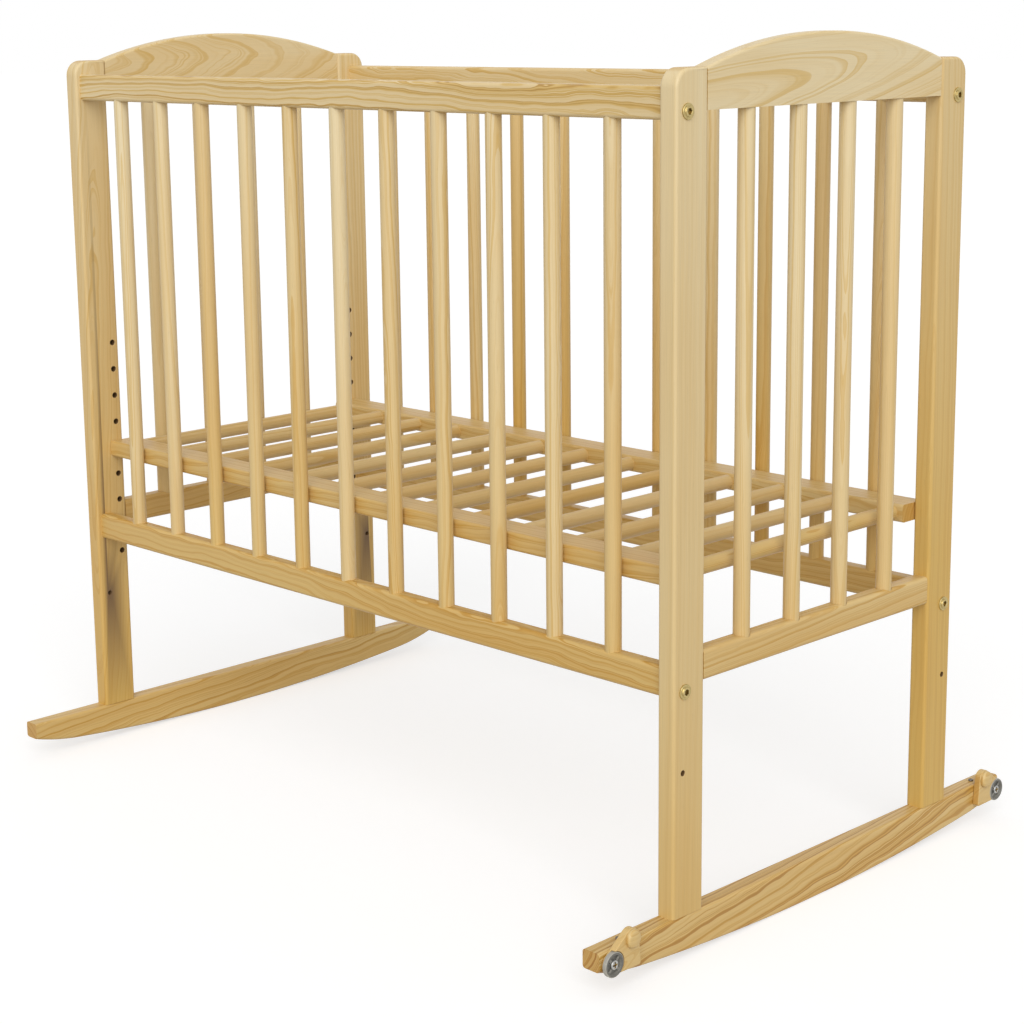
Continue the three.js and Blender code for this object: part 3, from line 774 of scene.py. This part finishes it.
def makeEnd(endName):
    lower = endName.lower()
    low, high = boxOf("end_rail_" + lower)
    shape = prism(rectangle(low.x, high.x, low.z, high.z), "Y", innerY[-1], innerY[1])
    roundEdges(shape, endShape["edge"], lambda edge: runsAlong(edge, "Y"), railShape["edgeSteps"])
    middleX = (low.x + high.x) / 2
    joins = endPegs(middleX, (low.z + high.z) / 2, pegs["spreadInRail"])
    mesh = carve(shape, slatSeats(endName, high.z, -1), joins)
    finishBoard("endRail" + endName, mesh, "Y", "crib", ["end_rail_" + lower], endRailWood[endName])
    low, high = boxOf("arched_board_" + lower)
    shape = prism(archOutline(low, high), "X", low.x, high.x)

    def isFaceEdge(edge):
        atPost = all(abs(abs(vertex.co.y) - innerY[1]) < sameWithin for vertex in edge.verts)
        return not runsAlong(edge, "X") and not atPost

    roundEdges(shape, endShape["archEdge"], isFaceEdge)
    joins = endPegs(middleX, (low.z + postTop) / 2, pegs["spreadInArch"])
    mesh = carve(shape, slatSeats(endName, low.z, 1), joins)
    finishBoard("archedBoard" + endName, mesh, "Y", "crib", ["arched_board_" + lower], archWood[endName])


for endName, _ in ends:
    makeEnd(endName)
print("ends made")


# Rockers

rockerShape = {
    "radius": 2800.0, "tipRadius": 290.0, "tipLength": 60.0, "flat": 58.9, "edge": 3.0, "arcSteps": 60,
    "tipSteps": 12, "boreRadius": 2.8, "headRadius": 5.3, "headSink": 9.0, "axleDepth": 16.3,
    "topScrewRadius": 1.8, "topScrewDepth": 14.3, "cutBelow": 20.0, "cutAbove": 5.0,
}
rockerWood = {
    "Right": dict(pith=(30, -45), lean=(0.02, -0.06), wave=14, spacing=4.8, contrast=1.2, honey=-0.08),
    "Left": dict(pith=(-30, -22), lean=(0.05, 0.03), wave=18, spacing=6.0, contrast=0.8, honey=0.0),
}


# The underside: a flat foot, one wide arc and an upturned arc at each tip
def undersideHeight(y, tip):
    wide, tight = rockerShape["radius"], rockerShape["tipRadius"]
    arcEnd = tip - rockerShape["tipLength"]

    def rise(distance):
        return wide - math.sqrt(wide ** 2 - distance ** 2)

    foot = rise(rockerShape["flat"] / 2)
    if abs(y) <= arcEnd:
        return max(0.0, rise(y) - foot)
    slope = math.asin(arcEnd / wide)
    centreY = arcEnd - tight * math.sin(slope)
    centreZ = rise(arcEnd) - foot + tight * math.cos(slope)
    return centreZ - math.sqrt(tight ** 2 - (abs(y) - centreY) ** 2)


def makeRocker(endName, end):
    node = "rocker_" + endName.lower()
    low, high = boxOf(node)
    r = rockerShape
    arcEnd = high.y - r["tipLength"]
    tip = [(high.y - arcEnd) * i / r["tipSteps"] for i in range(r["tipSteps"] + 1)]
    places = [low.y + step for step in tip[:-1]]
    places += [arcEnd * (2 * i / r["arcSteps"] - 1) for i in range(r["arcSteps"] + 1)]
    places += [arcEnd + step for step in tip[1:]]
    outline = [(y, undersideHeight(y, high.y)) for y in places] + [(high.y, high.z), (low.y, high.z)]
    shape = prism(outline, "X", low.x, high.x)
    roundEdges(shape, r["edge"], lambda edge: not runsAlong(edge, "X") and not runsAlong(edge, "Z"))
    middleX = (low.x + high.x) / 2
    cutters = []
    for sideName, side in sides:
        y = middleOf("post_" + cornerName(sideName, endName)).y
        floor, roof = -r["cutBelow"], high.z + r["cutAbove"]
        headZ = undersideHeight(y, high.y) + r["headSink"]
        profile = [(0, floor), (r["headRadius"], floor), (r["headRadius"], headZ), (r["boreRadius"], headZ),
                   (r["boreRadius"], roof), (0, roof)]
        cutters.append(turned(profile, "Z", (middleX, y, 0)))
        if end > 0:
            axle = middleOf("axle_screw_" + sideName.lower())
            at = (high.x, axle.y, axle.z)
            cutters.append(drill(r["boreRadius"], r["axleDepth"], "X", at, -1))
            screw = middleOf("top_screw_" + sideName.lower())
            at = (screw.x, screw.y, high.z)
            cutters.append(drill(r["topScrewRadius"], r["topScrewDepth"], "Z", at, -1))
    finishBoard("rocker" + endName, carve(shape, cutters), "Y", "crib", [node], rockerWood[endName])


for endName, end in ends:
    makeRocker(endName, end)
print("rockers made")


# Bed base

baseShape = {"edge": 3.0, "rungCount": 13, "rungEndInset": 14.4, "rungRadius": 8.0, "seed": 9,
             "notchDown": 20.0, "notchOut": 30.0, "notchSteps": 12}
baseWood = {
    "Front": dict(pith=(40, 40), lean=(0.01, 0.02), wave=16, spacing=4.6, contrast=0.65, honey=0.3),
    "Back": dict(pith=(-36, 44), lean=(0.02, 0.02), wave=16, spacing=4.6, contrast=0.65, honey=0.25),
}
baseLow, baseHigh = boxOf("base_rail_front")
baseMiddleZ = (baseLow.z + baseHigh.z) / 2
rungPitch = (baseHigh.x - baseLow.x - 2 * baseShape["rungEndInset"]) / (baseShape["rungCount"] - 1)
rungStart = baseLow.x + baseShape["rungEndInset"]


def pinNotch(sideName, endName, end):  # open at the bottom and at the rail's end
    low, high = boxOf("base_pin_" + cornerName(sideName, endName))
    pin = (low + high) / 2
    radius = (high.z - low.z) / 2 + clearance
    floor = pin.z - baseShape["notchDown"]
    outline = [(pin.y - radius, floor), (pin.y + radius, floor)]
    outline += arc((pin.y, pin.z), radius, 0, math.pi, baseShape["notchSteps"])
    inner = (low.x if end > 0 else high.x) - end * clearance
    outer = inner + end * baseShape["notchOut"]
    return prism(outline, "X", min(inner, outer), max(inner, outer))


def makeBaseRail(sideName, side):
    low, high = (baseLow.y, baseHigh.y) if side < 0 else (-baseHigh.y, -baseLow.y)
    shape = prism(rectangle(low, high, baseLow.z, baseHigh.z), "X", baseLow.x, baseHigh.x)
    roundEdges(shape, baseShape["edge"], lambda edge: runsAlong(edge, "X"))
    cutters = [pinNotch(sideName, endName, end) for endName, end in ends]
    if side < 0:
        for i in range(baseShape["rungCount"]):
            at = (rungStart + i * rungPitch, high, baseMiddleZ)
            cutters.append(drillSeat(baseShape["rungRadius"], "Y", at, -1))
    node = "base_rail_" + sideName.lower()
    finishBoard("baseRail" + sideName, carve(shape, cutters), "X", "bed_base", [node], baseWood[sideName])


for sideName, side in sides:
    makeBaseRail(sideName, side)
print("bed base rails made")


# Rows of round bars, by geometry nodes

barChance = {  # lowest and highest of what is drawn for each bar
    "pith": ((-40, -40, -40), (40, 40, 40)),
    "lean": ((-0.02, -0.02, 4.0), (0.02, 0.02, 14.0)),
    "grain": ((3.2, 0.15, -0.18), (5.6, 0.5, 0.22)),
}


def newTree(name, inputs):
    tree = bpy.data.node_groups.new(name, "GeometryNodeTree")
    tree.interface.new_socket("Geometry", in_out="OUTPUT", socket_type="NodeSocketGeometry")
    tree.interface.new_socket("Geometry", in_out="INPUT", socket_type="NodeSocketGeometry")
    for label, kind in inputs:
        tree.interface.new_socket(label, in_out="INPUT", socket_type="NodeSocket" + kind)
    tree.nodes.new("NodeGroupInput")
    tree.nodes.new("NodeGroupOutput")
    return tree, tree.nodes["Group Input"].outputs, tree.nodes["Group Output"].inputs


def placeCopies(tree, points, sample, turn, material, result):  # one on each point, as plain faces
    sockets = {"Points": points, "Instance": sample, "Rotation": turn}
    copies = addNode(tree, "GeometryNodeInstanceOnPoints", sockets).outputs[0]
    whole = addNode(tree, "GeometryNodeRealizeInstances", {"Geometry": copies}).outputs[0]
    painted = addNode(tree, "GeometryNodeSetMaterial", {"Geometry": whole, "Material": material})
    tree.links.new(painted.outputs[0], result["Geometry"])


def makeBarTree():
    tree, given, result = newTree("rowOfBars", (
        ("Count", "Int"), ("First Middle", "Vector"), ("Step", "Vector"), ("Direction", "Vector"),
        ("Radius", "Float"), ("Length", "Float"), ("Sides", "Int"), ("Seed", "Int"), ("Contrast", "Float"),
        ("Honey", "Float"), ("Material", "Material"),
    ))
    sockets = {"Count": given["Count"], "Start Location": given["First Middle"], "Offset": given["Step"]}
    points = addNode(tree, "GeometryNodeMeshLine", sockets, mode="OFFSET").outputs[0]

    def chance(key, shift):
        low, high = barChance[key]
        sockets = {0: low, 1: high, "Seed": calc(tree, "ADD", given["Seed"], shift)}
        return addNode(tree, "FunctionNodeRandomValue", sockets, data_type="FLOAT_VECTOR").outputs[0]

    middle = addNode(tree, "GeometryNodeInputPosition").outputs[0]
    tone = combine(tree, {1: given["Contrast"], 2: given["Honey"]})
    stored = {
        "pith": vectorCalc(tree, "ADD", middle, chance("pith", 0)),
        "lean": chance("lean", 1),
        "grain": vectorCalc(tree, "ADD", chance("grain", 2), tone),
        "knot": usualWood["knot"],
    }
    for name, value in stored.items():
        sockets = {"Geometry": points, "Name": name, "Value": value}
        points = addNode(tree, "GeometryNodeStoreNamedAttribute", sockets, data_type="FLOAT_VECTOR",
                         domain="POINT").outputs[0]
    sockets = {"Vertices": given["Sides"], "Radius": given["Radius"], "Depth": given["Length"]}
    bar = addNode(tree, "GeometryNodeMeshCylinder", sockets).outputs[0]
    sockets = {"Vector": given["Direction"]}
    turn = addNode(tree, "FunctionNodeAlignRotationToVector", sockets, axis="Z").outputs[0]
    placeCopies(tree, points, bar, turn, given["Material"], result)
    return tree


def runTree(tree, values, base=None):
    carrier = newObject("carrier", base or bpy.data.meshes.new("carrier"))
    modifier = carrier.modifiers.new("nodes", "NODES")
    modifier.node_group = tree
    for item in tree.interface.items_tree:
        if item.in_out == "INPUT" and item.name in values:
            modifier[item.identifier] = values[item.name]
    mesh = evaluatedMesh(carrier)
    carrier.modifiers.remove(modifier)
    bpy.data.objects.remove(carrier)
    return mesh


barTree = makeBarTree()


def makeBars(name, nodes, body, axis, values):
    direction = [0.0, 0.0, 0.0]
    direction["XYZ".index(axis)] = 1.0
    given = {"Direction": direction, "Sides": longSlats["sides"], "Material": pineAlong[axis], **values}
    finishPiece(name, runTree(barTree, given), pineAlong[axis], body, nodes)


for sideName, side in sides:
    node = "slatted_rail_" + sideName.lower()
    low, high = boxOf(node)
    foot = low.z + railHeight / 2
    makeBars("slats" + sideName, [node], "crib", "Z", {
        "Count": longSlats["count"],
        "First Middle": (slatStart, (low.y + high.y) / 2, (foot + high.z) / 2),
        "Step": (slatPitch, 0.0, 0.0),
        "Radius": longSlats["radius"],
        "Length": high.z - foot,
        "Seed": longSlats["seed"] + side,
        "Contrast": longSlats["contrast"][sideName],
        "Honey": longSlats["honey"][sideName],
    })
for endName, _ in ends:
    nodes = endSlatNodes(endName)
    (low, high), second = boxOf(nodes[0]), boxOf(nodes[1])
    makeBars("endSlats" + endName, nodes, "crib", "Z", {
        "Count": endShape["slats"],
        "First Middle": tuple((low + high) / 2),
        "Step": (0.0, second[0].y - low.y, 0.0),
        "Radius": (high.x - low.x) / 2,
        "Length": high.z - low.z,
        "Seed": endShape["seeds"][endName],
        "Contrast": 0.0,
        "Honey": 0.06,
    })
rungBack = -baseHigh.y + slatSeat["depth"]
rungFront = baseHigh.y - slatSeat["depth"] + clearance
makeBars("rungs", ["base_rail_back"], "bed_base", "Y", {
    "Count": baseShape["rungCount"],
    "First Middle": (rungStart, (rungFront + rungBack) / 2, baseMiddleZ),
    "Step": (rungPitch, 0.0, 0.0),
    "Radius": baseShape["rungRadius"],
    "Length": rungBack - rungFront,
    "Seed": baseShape["seed"],
    "Contrast": 0.1,
    "Honey": 0.2,
})
print("slats and rungs made")


# Hardware set at the places of its nodes, by geometry nodes

def makeSettingTree():
    tree, given, result = newTree("setHardware", (
        ("Piece", "Object"), ("Most Spin", "Float"), ("Seed", "Int"), ("Material", "Material"),
    ))
    aim = addNode(tree, "GeometryNodeInputNamedAttribute", {"Name": "aim"},
                  data_type="FLOAT_VECTOR").outputs[0]
    turn = addNode(tree, "FunctionNodeAlignRotationToVector", {"Vector": aim}, axis="X").outputs[0]
    sockets = {2: 0.0, 3: given["Most Spin"], "Seed": given["Seed"]}
    angle = addNode(tree, "FunctionNodeRandomValue", sockets, data_type="FLOAT").outputs[1]
    spin = addNode(tree, "FunctionNodeAxisAngleToRotation", {"Axis": (1, 0, 0), "Angle": angle}).outputs[0]
    turn = addNode(tree, "FunctionNodeRotateRotation", {"Rotation": turn, "Rotate By": spin},
                   rotation_space="LOCAL").outputs[0]
    piece = addNode(tree, "GeometryNodeObjectInfo", {"Object": given["Piece"]}).outputs["Geometry"]
    placeCopies(tree, given["Geometry"], piece, turn, given["Material"], result)
    return tree


settingTree = makeSettingTree()


# Where a sample's middle goes or, with a head, where the back of the head goes
def seatOf(node, aim, headHeight):
    low, high = boxOf(node)
    middle = (low + high) / 2
    if headHeight:
        for i, value in enumerate(aim):
            if value:
                middle[i] = (high[i] if value > 0 else low[i]) - value * headHeight
    return middle


# The sample points along X; each found node has the direction that it points in
def setHardware(name, sample, found, material, headHeight=None, spin=0.0, seed=1):
    points = bpy.data.meshes.new("points")
    points.from_pydata([seatOf(node, aim, headHeight) for node, aim in found], [], [])
    layer = points.attributes.new("aim", "FLOAT_VECTOR", "POINT")
    layer.data.foreach_set("vector", [value for _, aim in found for value in aim])
    source = newObject("sample", sample)
    given = {"Piece": source, "Most Spin": spin, "Seed": seed, "Material": material}
    mesh = runTree(settingTree, given, points)
    bpy.data.objects.remove(source)
    finishPiece(name, mesh, material, "crib", [node for node, _ in found])


def cornerNodes(kind, aim=None, endings=("",)):  # without an aim each points out of its end
    return [(f"{kind}_{cornerName(sideName, endName)}{ending}", aim or (end, 0, 0))
            for endName, end in ends for sideName, _ in sides for ending in endings]


recessTool = {"cut": 0.5, "floorShare": 0.5, "markAboveBack": 0.1, "markBelowFace": 0.05}


def crossTool(shape):  # cuts a screwdriver's cross recess, narrower at its floor
    reach, half, head = shape["recess"], shape["recessWidth"] / 2, shape["headHeight"]
    outline = []
    for turn in range(4):
        for first, second in ((reach, -half), (reach, half), (half, half)):
            for _ in range(turn):
                first, second = -second, first
            outline.append((first, second))
    tool = prism(outline, "X", head - shape["recessDepth"], head + recessTool["cut"])
    for vertex in tool.verts:
        if vertex.co.x < head:
            vertex.co.y *= recessTool["floorShare"]
            vertex.co.z *= recessTool["floorShare"]
    return tool


def markRecessShade(mesh, reach, face):  # marks the walls and floor of a recess below a head's face for painted shade
    low, high = recessTool["markAboveBack"], face - recessTool["markBelowFace"]
    markPlaces(mesh, "paintedHollowShade", lambda at: low < at.x < high and math.hypot(at.y, at.z) < reach, "FACE")
    return mesh


# A screw whose head's back is at the origin
def screwSample(shape, node, axis):
    low, high = boxOf(node)
    head, radius = shape["headHeight"], shape["radius"]
    tip = head - (high[axis] - low[axis])
    profile = [(0, tip), (shape["tipRadius"], tip), (radius, tip + shape["tipLength"]), (radius, 0),
               (shape["headRadius"], 0)]
    profile += rimProfile(shape["headRadius"], head, shape["edge"], steps=5) + [(0, head)]
    body = turned(profile, "X", steps=shape["steps"])
    return markRecessShade(carve(body, [crossTool(shape)]), shape["recess"], head)


boltShape = {
    "flangeRadius": 7.5, "flange": 1.6, "flangeEdge": 0.8, "rimRadius": 5.0, "rim": 1.2, "rimFoot": 0.3,
    "rimEdge": 0.3, "shank": 56.5, "shankRadius": 3.0, "tip": 0.5, "steps": 40, "socket": 3.0,
    "socketSides": 6, "socketDepth": 2.3, "socketLip": 0.35, "socketCut": 1.0,
}
boltHead = boltShape["flange"] + boltShape["rim"]


def boltSample():
    b = boltShape
    shank, rim, flange = b["shankRadius"], b["rimRadius"], b["flange"]
    profile = [(0, -b["shank"]), (shank - b["tip"], -b["shank"]), (shank, b["tip"] - b["shank"]), (shank, 0),
               (b["flangeRadius"], 0)]
    profile += rimProfile(b["flangeRadius"], flange, b["flangeEdge"])
    profile += [(rim + b["rimFoot"], flange), (rim, flange + b["rimFoot"]), (rim, boltHead - b["rimEdge"]),
                (rim - b["rimEdge"], boltHead), (0, boltHead)]
    floor, lip, cut = boltHead - b["socketDepth"], b["socketLip"], b["socketCut"]
    key = [(0, floor), (b["socket"], floor), (b["socket"], boltHead - lip),
           (b["socket"] + lip + cut, boltHead + cut), (0, boltHead + cut)]
    body = turned(profile, "X", steps=b["steps"])
    return markRecessShade(carve(body, [turned(key, "X", steps=b["socketSides"])]), b["socket"], boltHead)


levels = ("_top", "_bottom")
setHardware("bolts", boltSample(), cornerNodes("bolt", endings=levels), brass, boltHead,
            spin=math.tau, seed=3)

nutShape = {"radius": 5.0, "length": 13.0, "edge": 0.5, "bore": 3.3, "slotWidth": 1.2, "slotDepth": 1.5,
            "cut": 9.0, "steps": 32}


def nutSample():
    n = nutShape
    radius, half, edge, cut = n["radius"], n["length"] / 2, n["edge"], n["cut"]
    profile = [(0, -half), (radius - edge, -half), (radius, edge - half), (radius, half - edge),
               (radius - edge, half), (0, half)]
    slotOutline = rectangle(-n["slotWidth"] / 2, n["slotWidth"] / 2, -cut, cut)
    slot = prism(slotOutline, "X", half - n["slotDepth"], half + beforeFace)
    bore = turned(rodProfile(n["bore"], -cut, cut), "Z")
    return carve(turned(profile, "X", steps=n["steps"]), [slot, bore])


setHardware("barrelNuts", nutSample(), cornerNodes("barrel_nut", (0, 0, -1), levels), zinc)

pinLow, pinHigh = boxOf("base_pin_front_left")
pinShape = {"radius": (pinHigh.z - pinLow.z) / 2, "length": pinHigh.x - pinLow.x, "edge": 0.8, "steps": 32}


def pinSample():
    half = pinShape["length"] / 2
    rim = rimProfile(pinShape["radius"], half, pinShape["edge"])
    foot = [(radius, -height) for radius, height in reversed(rim)]
    return meshOf(turned([(0, -half)] + foot + rim + [(0, half)], "X", steps=pinShape["steps"]))


setHardware("basePins", pinSample(), cornerNodes("base_pin"), zinc)

rockerScrewShape = {
    "radius": 2.5, "tipRadius": 0.4, "tipLength": 8.0, "headRadius": 5.0, "headHeight": 3.0, "edge": 1.4,
    "recess": 2.6, "recessWidth": 1.0, "recessDepth": 2.0, "steps": 32,
}
setHardware("rockerScrews", screwSample(rockerScrewShape, "rocker_screw_front_left", 2),
            cornerNodes("rocker_screw", (0, 0, -1)), zinc, rockerScrewShape["headHeight"], spin=math.tau,
            seed=7)
print("hardware set")


# Stops at the right rocker's tips

stopShape = {
    "eyeRadius": 10.0, "knobRound": 9.6, "knobAcross": 23.5, "knobUp": 18.5, "heelRadius": 2.5,
    "heelAcross": 33.0, "heelDown": 8.0, "tongue": 2.5, "edge": 0.9, "axleBore": 2.8, "knobBore": 5.3,
    "rollerRoom": 12.9, "roundSteps": 72, "roomSteps": 64, "boreSteps": 32, "cut": 20.0,
}
stopWood = dict(pith=(-14, 18), lean=(0.35, 0.1), wave=8, spacing=3.6, contrast=0.4, honey=-0.1)
knobShape = {"tenon": 5.0, "foot": 0.4, "edge": 3.0, "dome": 0.5, "crownShare": 0.25, "crown": 0.05,
             "steps": 48}
knobWood = dict(pith=(9, 12), spacing=2.6, contrast=0.4, honey=-0.1, wave=3)
rollerShape = {
    "edge": 0.9, "rim": 3.2, "rimEdge": 0.3, "dish": 2.4, "draft": 0.4, "hubWall": 1.0, "bore": 2.8,
    "ribs": 4, "ribWidth": 2.6, "ribSink": 1.1, "ribRoot": 0.6, "ribInHub": 0.8, "ribInRim": 0.4,
    # the rib tops get this share of painted highlight
    "ribHighlight": 0.4, "ribHighlightAbove": 0.9, "tread": 1.2, "steps": 64,
}
axleShape = {
    "radius": 2.5, "tipRadius": 1.0, "tipLength": 3.0, "headRadius": 4.6, "headHeight": 1.8, "edge": 0.9,
    "recess": 3.6, "recessWidth": 2.0, "recessDepth": 1.5, "steps": 40,
}
topScrewShape = {
    "radius": 1.5, "tipRadius": 0.6, "tipLength": 3.0, "headRadius": 2.6, "headHeight": 2.0, "edge": 0.9,
    "recess": 1.5, "recessWidth": 0.8, "recessDepth": 1.4, "steps": 40,
}


def makeStopBlock(sideName, side, axle):
    lower = sideName.lower()
    low, high = boxOf("stop_block_" + lower)
    s = stopShape
    points = []
    for radius, across, up in ((s["eyeRadius"], 0, 0), (s["knobRound"], s["knobAcross"], s["knobUp"]),
                               (s["heelRadius"], s["heelAcross"], -s["heelDown"])):
        centre = (axle.y - side * across, axle.z + up)
        points += arc(centre, radius, 0, 2 * math.pi, s["roundSteps"])[:-1]
    outline = [points[i] for i in convex_hull_2d(points)]
    shape = prism(outline, "X", low.x, high.x)
    roundEdges(shape, s["edge"], lambda edge: not runsAlong(edge, "X"), steps=3)
    roomFloor = high.x - low.x - s["tongue"]
    room = [(0, -beforeFace), (s["rollerRoom"], -beforeFace), (s["rollerRoom"], roomFloor),
            (s["axleBore"], roomFloor), (s["axleBore"], roomFloor + s["cut"]), (0, roomFloor + s["cut"])]
    knobAt = (low.x, axle.y - side * s["knobAcross"], axle.z + s["knobUp"])
    cutters = [
        turned(room, "X", (high.x, axle.y, axle.z), -1, s["roomSteps"]),
        drill(s["knobBore"], s["cut"], "X", knobAt, 1, steps=s["boreSteps"]),
    ]
    mesh = carve(shape, cutters)
    finishBoard("stopBlock" + sideName, mesh, "Y", "stop_" + lower, ["stop_block_" + lower], stopWood)


def makeStopKnob(sideName):
    lower = sideName.lower()
    k = knobShape
    low, high = boxOf("stop_knob_" + lower)
    centre = (low + high) / 2
    radius = (high.y - low.y) / 2
    shoulder = boxOf("stop_block_" + lower)[1].x
    profile = [(0, low.x), (k["tenon"], low.x), (k["tenon"], shoulder), (radius - k["foot"], shoulder),
               (radius, shoulder + k["foot"])]
    profile += rimProfile(radius, high.x - k["dome"], k["edge"], steps=6)
    profile += [(radius * k["crownShare"], high.x - k["crown"]), (0, high.x)]
    mesh = meshOf(turned(profile, "X", (0, centre.y, centre.z), 1, k["steps"]))
    finishBoard("stopKnob" + sideName, mesh, "Y", "stop_" + lower, ["stop_knob_" + lower], knobWood)


def makeRoller(sideName, axle):
    lower = sideName.lower()
    low, high = boxOf("roller_" + lower)
    r = rollerShape
    radius = (high.y - low.y) / 2
    floor = high.x - r["dish"]
    dishRadius = radius - r["rim"]
    hubRadius = axleShape["headRadius"] + r["hubWall"]
    hubFloor = high.x - axleShape["headHeight"]
    front = rimProfile(radius, high.x, r["edge"])
    back = [(a, low.x + high.x - b) for a, b in reversed(front)]
    profile = [(r["bore"], low.x)] + back + front
    profile += [(dishRadius + r["rimEdge"], high.x), (dishRadius, high.x - r["rimEdge"]),
                (dishRadius - r["draft"], floor), (hubRadius, floor), (hubRadius - r["draft"], hubFloor),
                (r["bore"], hubFloor)]
    wheel = turned(profile, "X", (0, axle.y, axle.z), 1, r["steps"], closed=True)
    ribs = []
    for i in range(r["ribs"]):
        outline = rectangle(-r["ribWidth"] / 2, r["ribWidth"] / 2, hubRadius - r["ribInHub"],
                            dishRadius + r["ribInRim"])
        rib = prism(outline, "X", floor - r["ribRoot"], high.x - r["ribSink"])
        turn = Matrix.Rotation(math.tau * (i + 0.5) / r["ribs"], 3, "X")
        bmesh.ops.rotate(rib, cent=(0, 0, 0), matrix=turn, verts=rib.verts)
        bmesh.ops.translate(rib, vec=(0, axle.y, axle.z), verts=rib.verts)
        ribs.append(rib)
    mesh = carve(wheel, (), ribs)

    def treadWearAndHighlight(at):  # paler tread, partly wear and partly painted highlight; rib tops carry a painted highlight
        reach = math.hypot(at.y - axle.y, at.z - axle.z)
        if hubRadius < reach < dishRadius and at.x > floor + r["ribHighlightAbove"]:
            return r["ribHighlight"]
        return reach > radius - r["tread"]

    markPlaces(mesh, "rim", treadWearAndHighlight, "FACE")
    finishPiece("roller" + sideName, mesh, greyPlastic, f"roller_{lower}_body", ["roller_" + lower])


for sideName, side in sides:
    axle = middleOf("axle_screw_" + sideName.lower())
    makeStopBlock(sideName, side, axle)
    makeStopKnob(sideName)
    makeRoller(sideName, axle)
axles = [("axle_screw_" + name.lower(), (1, 0, 0)) for name, _ in sides]
topScrews = [("top_screw_" + name.lower(), (0, 0, 1)) for name, _ in sides]
setHardware("axleScrews", screwSample(axleShape, "axle_screw_front", 0), axles, steel,
            axleShape["headHeight"])
setHardware("topScrews", screwSample(topScrewShape, "top_screw_front", 2), topScrews, darkZinc,
            topScrewShape["headHeight"], spin=1.2, seed=5)
print("stops made")


# Floor, backdrop and lamps

studio = {
    "floorSize": 60.0, "paper": (0.55, 0.55, 0.55, 1), "paperGlow": 0.56,
    "paperBounce": (0.45, 0.42, 0.36, 1),  # the paper's colour in the light that it throws on the crib
    "paperRoughness": 0.9, "skyLevel": 0.56, "keyLevel": 1.95, "keyFrom": (0.62, -0.62, 0.48),
    "keySpread": 55.0,
}
white = (1, 1, 1, 1)


def seenDirectly(tree):
    rays = addNode(tree, "ShaderNodeLightPath").outputs
    seen = calc(tree, "MAXIMUM", rays["Is Camera Ray"], rays["Is Glossy Ray"])
    return calc(tree, "MAXIMUM", seen, rays["Is Transmission Ray"])


def makeFloor():
    half = studio["floorSize"] / 2
    shape = bmesh.new()
    shape.faces.new([shape.verts.new((x, y, 0)) for x, y in rectangle(-half, half, -half, half)])
    floor = newObject("floor", meshOf(shape, "floor"))
    material, tree, surface = newMaterial("floorPaper")
    seen = seenDirectly(tree)
    setInputs(tree, surface, {
        "Base Color": mixColour(tree, seen, studio["paperBounce"], studio["paper"]),
        "Roughness": studio["paperRoughness"],
        "Specular IOR Level": 0.0,
        "Emission Color": white,
        "Emission Strength": calc(tree, "MULTIPLY", seen, studio["paperGlow"]),
    })
    floor.data.materials.append(material)


def makeLight():
    world = bpy.data.worlds.new("studio")
    bpy.context.scene.world = world
    world.use_nodes = True
    tree = world.node_tree
    level = calc(tree, "MULTIPLY_ADD", seenDirectly(tree), 1 - studio["skyLevel"], studio["skyLevel"])
    setInputs(tree, tree.nodes["Background"].inputs, {"Color": white, "Strength": level})
    data = bpy.data.lights.new("key", "SUN")
    data.energy = studio["keyLevel"]
    data.angle = math.radians(studio["keySpread"])
    lamp = bpy.data.objects.new("key", data)
    bpy.context.collection.objects.link(lamp)
    lamp.rotation_euler = Vector(studio["keyFrom"]).to_track_quat("Z", "Y").to_euler()


makeFloor()
makeLight()
bpy.context.scene.view_settings.view_transform = "Standard"
print("studio made")
